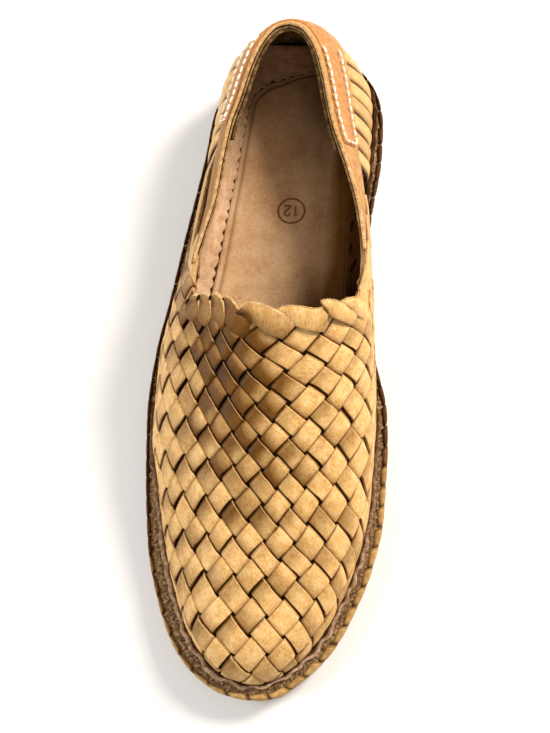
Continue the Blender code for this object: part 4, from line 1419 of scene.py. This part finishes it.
def make_collar():
    """The heel strap: a broad strap round the collar, its flesh-side facing, patch, fibres and
    stitches.
    """
    outer, (column, row) = collar_sheet("collar_strap", (184, 194), -0.5, strap_width, 1.2)
    # Darker on the lateral side, partly the nap and partly painted shade where the strap faces
    # away from the key light; a little darker on the medial side; the top row lighter so the pale
    # cut edge stays pale.
    mark(outer, (0.1 + 0.45 * ramp(column, 80, 30) + 0.25 * ramp(column, 80, 130))
         * np.where(row > 0, 1, 0.5))
    thicken(outer, 1.2, -1.0, (STRAP_TAN, CUT_EDGE, FLESH_SIDE), rim=1, back=2, bevel=0.25)
    finish_piece(outer, replaces=("collar_strap",), angle=50)
    heel, _ = collar_sheet("heel_facing", (245, 242), -1.2, lambda side, top: 26, -3.4)
    thicken(heel, 1.4, 0.0, bevel=0.25)
    finish_piece(heel, (HEEL_FACING,), angle=50)
    patch, (column, row) = collar_sheet(
        "heel_patch", (251.0, 243.6), 2.2, lambda side, top: 12.9 if side > 0 else 9.7, 1.7)
    mark(patch, np.full(len(column), 0.1))
    thicken(patch, 0.5, -1.0, bevel=0.15)
    finish_piece(patch, (PATCH_TAN,), angle=50)
    fibres = []
    for side, first in ((-1, 186), (1, 196)):
        line = np.array([collar_spot(side, top, 0.0, 0.5) for top in np.arange(first, 298, 2.0)])
        line = line + 0.6 * UP
        inward = np.array([-side, 0, 0.7])
        fibres.append(fringe(line, inward))
        fibres.append(fringe(line + (side * 0.6, 0, 0.1), inward, 1.1))
    finish_piece(join(fibres, "collar_fibres"), (CUT_EDGE,), angle=50)
    make_stitches()


def collar_spot(side, top, down, lift):
    """The spot on the collar at a top station, down from its edge and lifted off it."""
    along = np.interp(top, COLLAR_TOPS, COLLAR_STEPS)
    return last.worn(collar_chart(side, along, down), lift)


def make_stitches():
    """The patch's seam: thick pale thread in a long U on each side, one stitch copied."""
    stitch = ball(8, 6)
    copies = []
    for side, front in ((-1, 252.0), (1, 244.4)):
        near, far = 2.8, 12.3 if side > 0 else 9.0
        stops = [(top, near + 0.3 * math.sin(top)) for top in np.arange(front + 44, front, -3.6)]
        stops += [(front, down) for down in np.arange(near, far, 3.4)]
        stops += [(top, far + 0.3 * math.sin(top)) for top in np.arange(front, front + 44, 3.6)]
        ends = [collar_spot(side, top, down, 2.9) for top, down in stops]
        for first, second in zip(ends[:-1], ends[1:]):
            length = np.linalg.norm(second - first)
            if length > 6:
                continue
            copy = stitch.copy()
            copy.data = stitch.data.copy()
            bpy.context.scene.collection.objects.link(copy)
            aim(copy, (first + second) / 2, second - first, (0.46 * length, 0.55, 0.45))
            copies.append(copy)
    bpy.data.objects.remove(stitch, do_unlink=True)
    item = join(copies, "patch_stitches")
    bpy.ops.object.transform_apply(location=True, rotation=True, scale=True)
    finish_piece(item, (THREAD,), angle=60)


make_quarters()
make_collar()


# ---------------------------------------------------------------- floor, light, camera
def make_floor():
    pick()
    bpy.ops.mesh.primitive_plane_add(size=6.0, location=(0, 0, 0))
    floor = bpy.context.object
    floor.name = "floor"
    material = bpy.data.materials.new("matt_white_paper")
    material.use_nodes = True
    shader = material.node_tree.nodes["Principled BSDF"]
    shader.inputs["Base Color"].default_value = linear("F4F3F1")
    shader.inputs["Roughness"].default_value = 0.9
    floor.data.materials.append(material)


def make_light(name, spot, target, size, power, colour):
    data = bpy.data.lights.new(name, "AREA")
    data.shape, data.size, data.energy = "DISK", size, power
    data.color = linear(colour)[:3]
    lamp = bpy.data.objects.new(name, data)
    bpy.context.scene.collection.objects.link(lamp)
    lamp.location = spot
    lamp.rotation_euler = (Vector(target) - Vector(spot)).to_track_quat("-Z", "Y").to_euler()


CAMERA_SPOT, CAMERA_LENS = (57.7, -15.2, 562.8), 61.0
FIRST_AIM, CAMERA_AIM = (49.3, 124.8, 0.0), (-1.0, 148.0, 20.0)


def make_camera():
    """The eye stays where it is; only its aim is turned from where it first looked to the shoe."""
    data = bpy.data.cameras.new("camera")
    camera = bpy.data.objects.new("camera", data)
    bpy.context.scene.collection.objects.link(camera)
    spot, first_aim, aim = (Vector(place(p)) for p in (CAMERA_SPOT, FIRST_AIM, CAMERA_AIM))
    upright = (first_aim - spot).to_track_quat("-Z", "Y")
    turn = (first_aim - spot).rotation_difference(aim - spot)
    camera.location = spot
    camera.rotation_mode = "QUATERNION"
    camera.rotation_quaternion = turn @ upright
    data.sensor_width, data.lens = 36.0, CAMERA_LENS
    data.clip_start, data.clip_end = 0.01, 20.0
    bpy.context.scene.camera = camera


make_floor()
make_light("key", (0.8, 0.55, 0.85), (0, 0, 0), 0.5, 24.0, "FFF8EE")
make_light("fill", (-1.0, -0.2, 0.8), (0, 0, 0), 0.8, 13.0, "FBFAF8")
world = bpy.data.worlds.new("studio")
bpy.context.scene.world = world
world.use_nodes = True
world.node_tree.nodes["Background"].inputs["Color"].default_value = linear("F6F6F6")
world.node_tree.nodes["Background"].inputs["Strength"].default_value = 0.38
bpy.context.scene.view_settings.view_transform = "Standard"
make_camera()
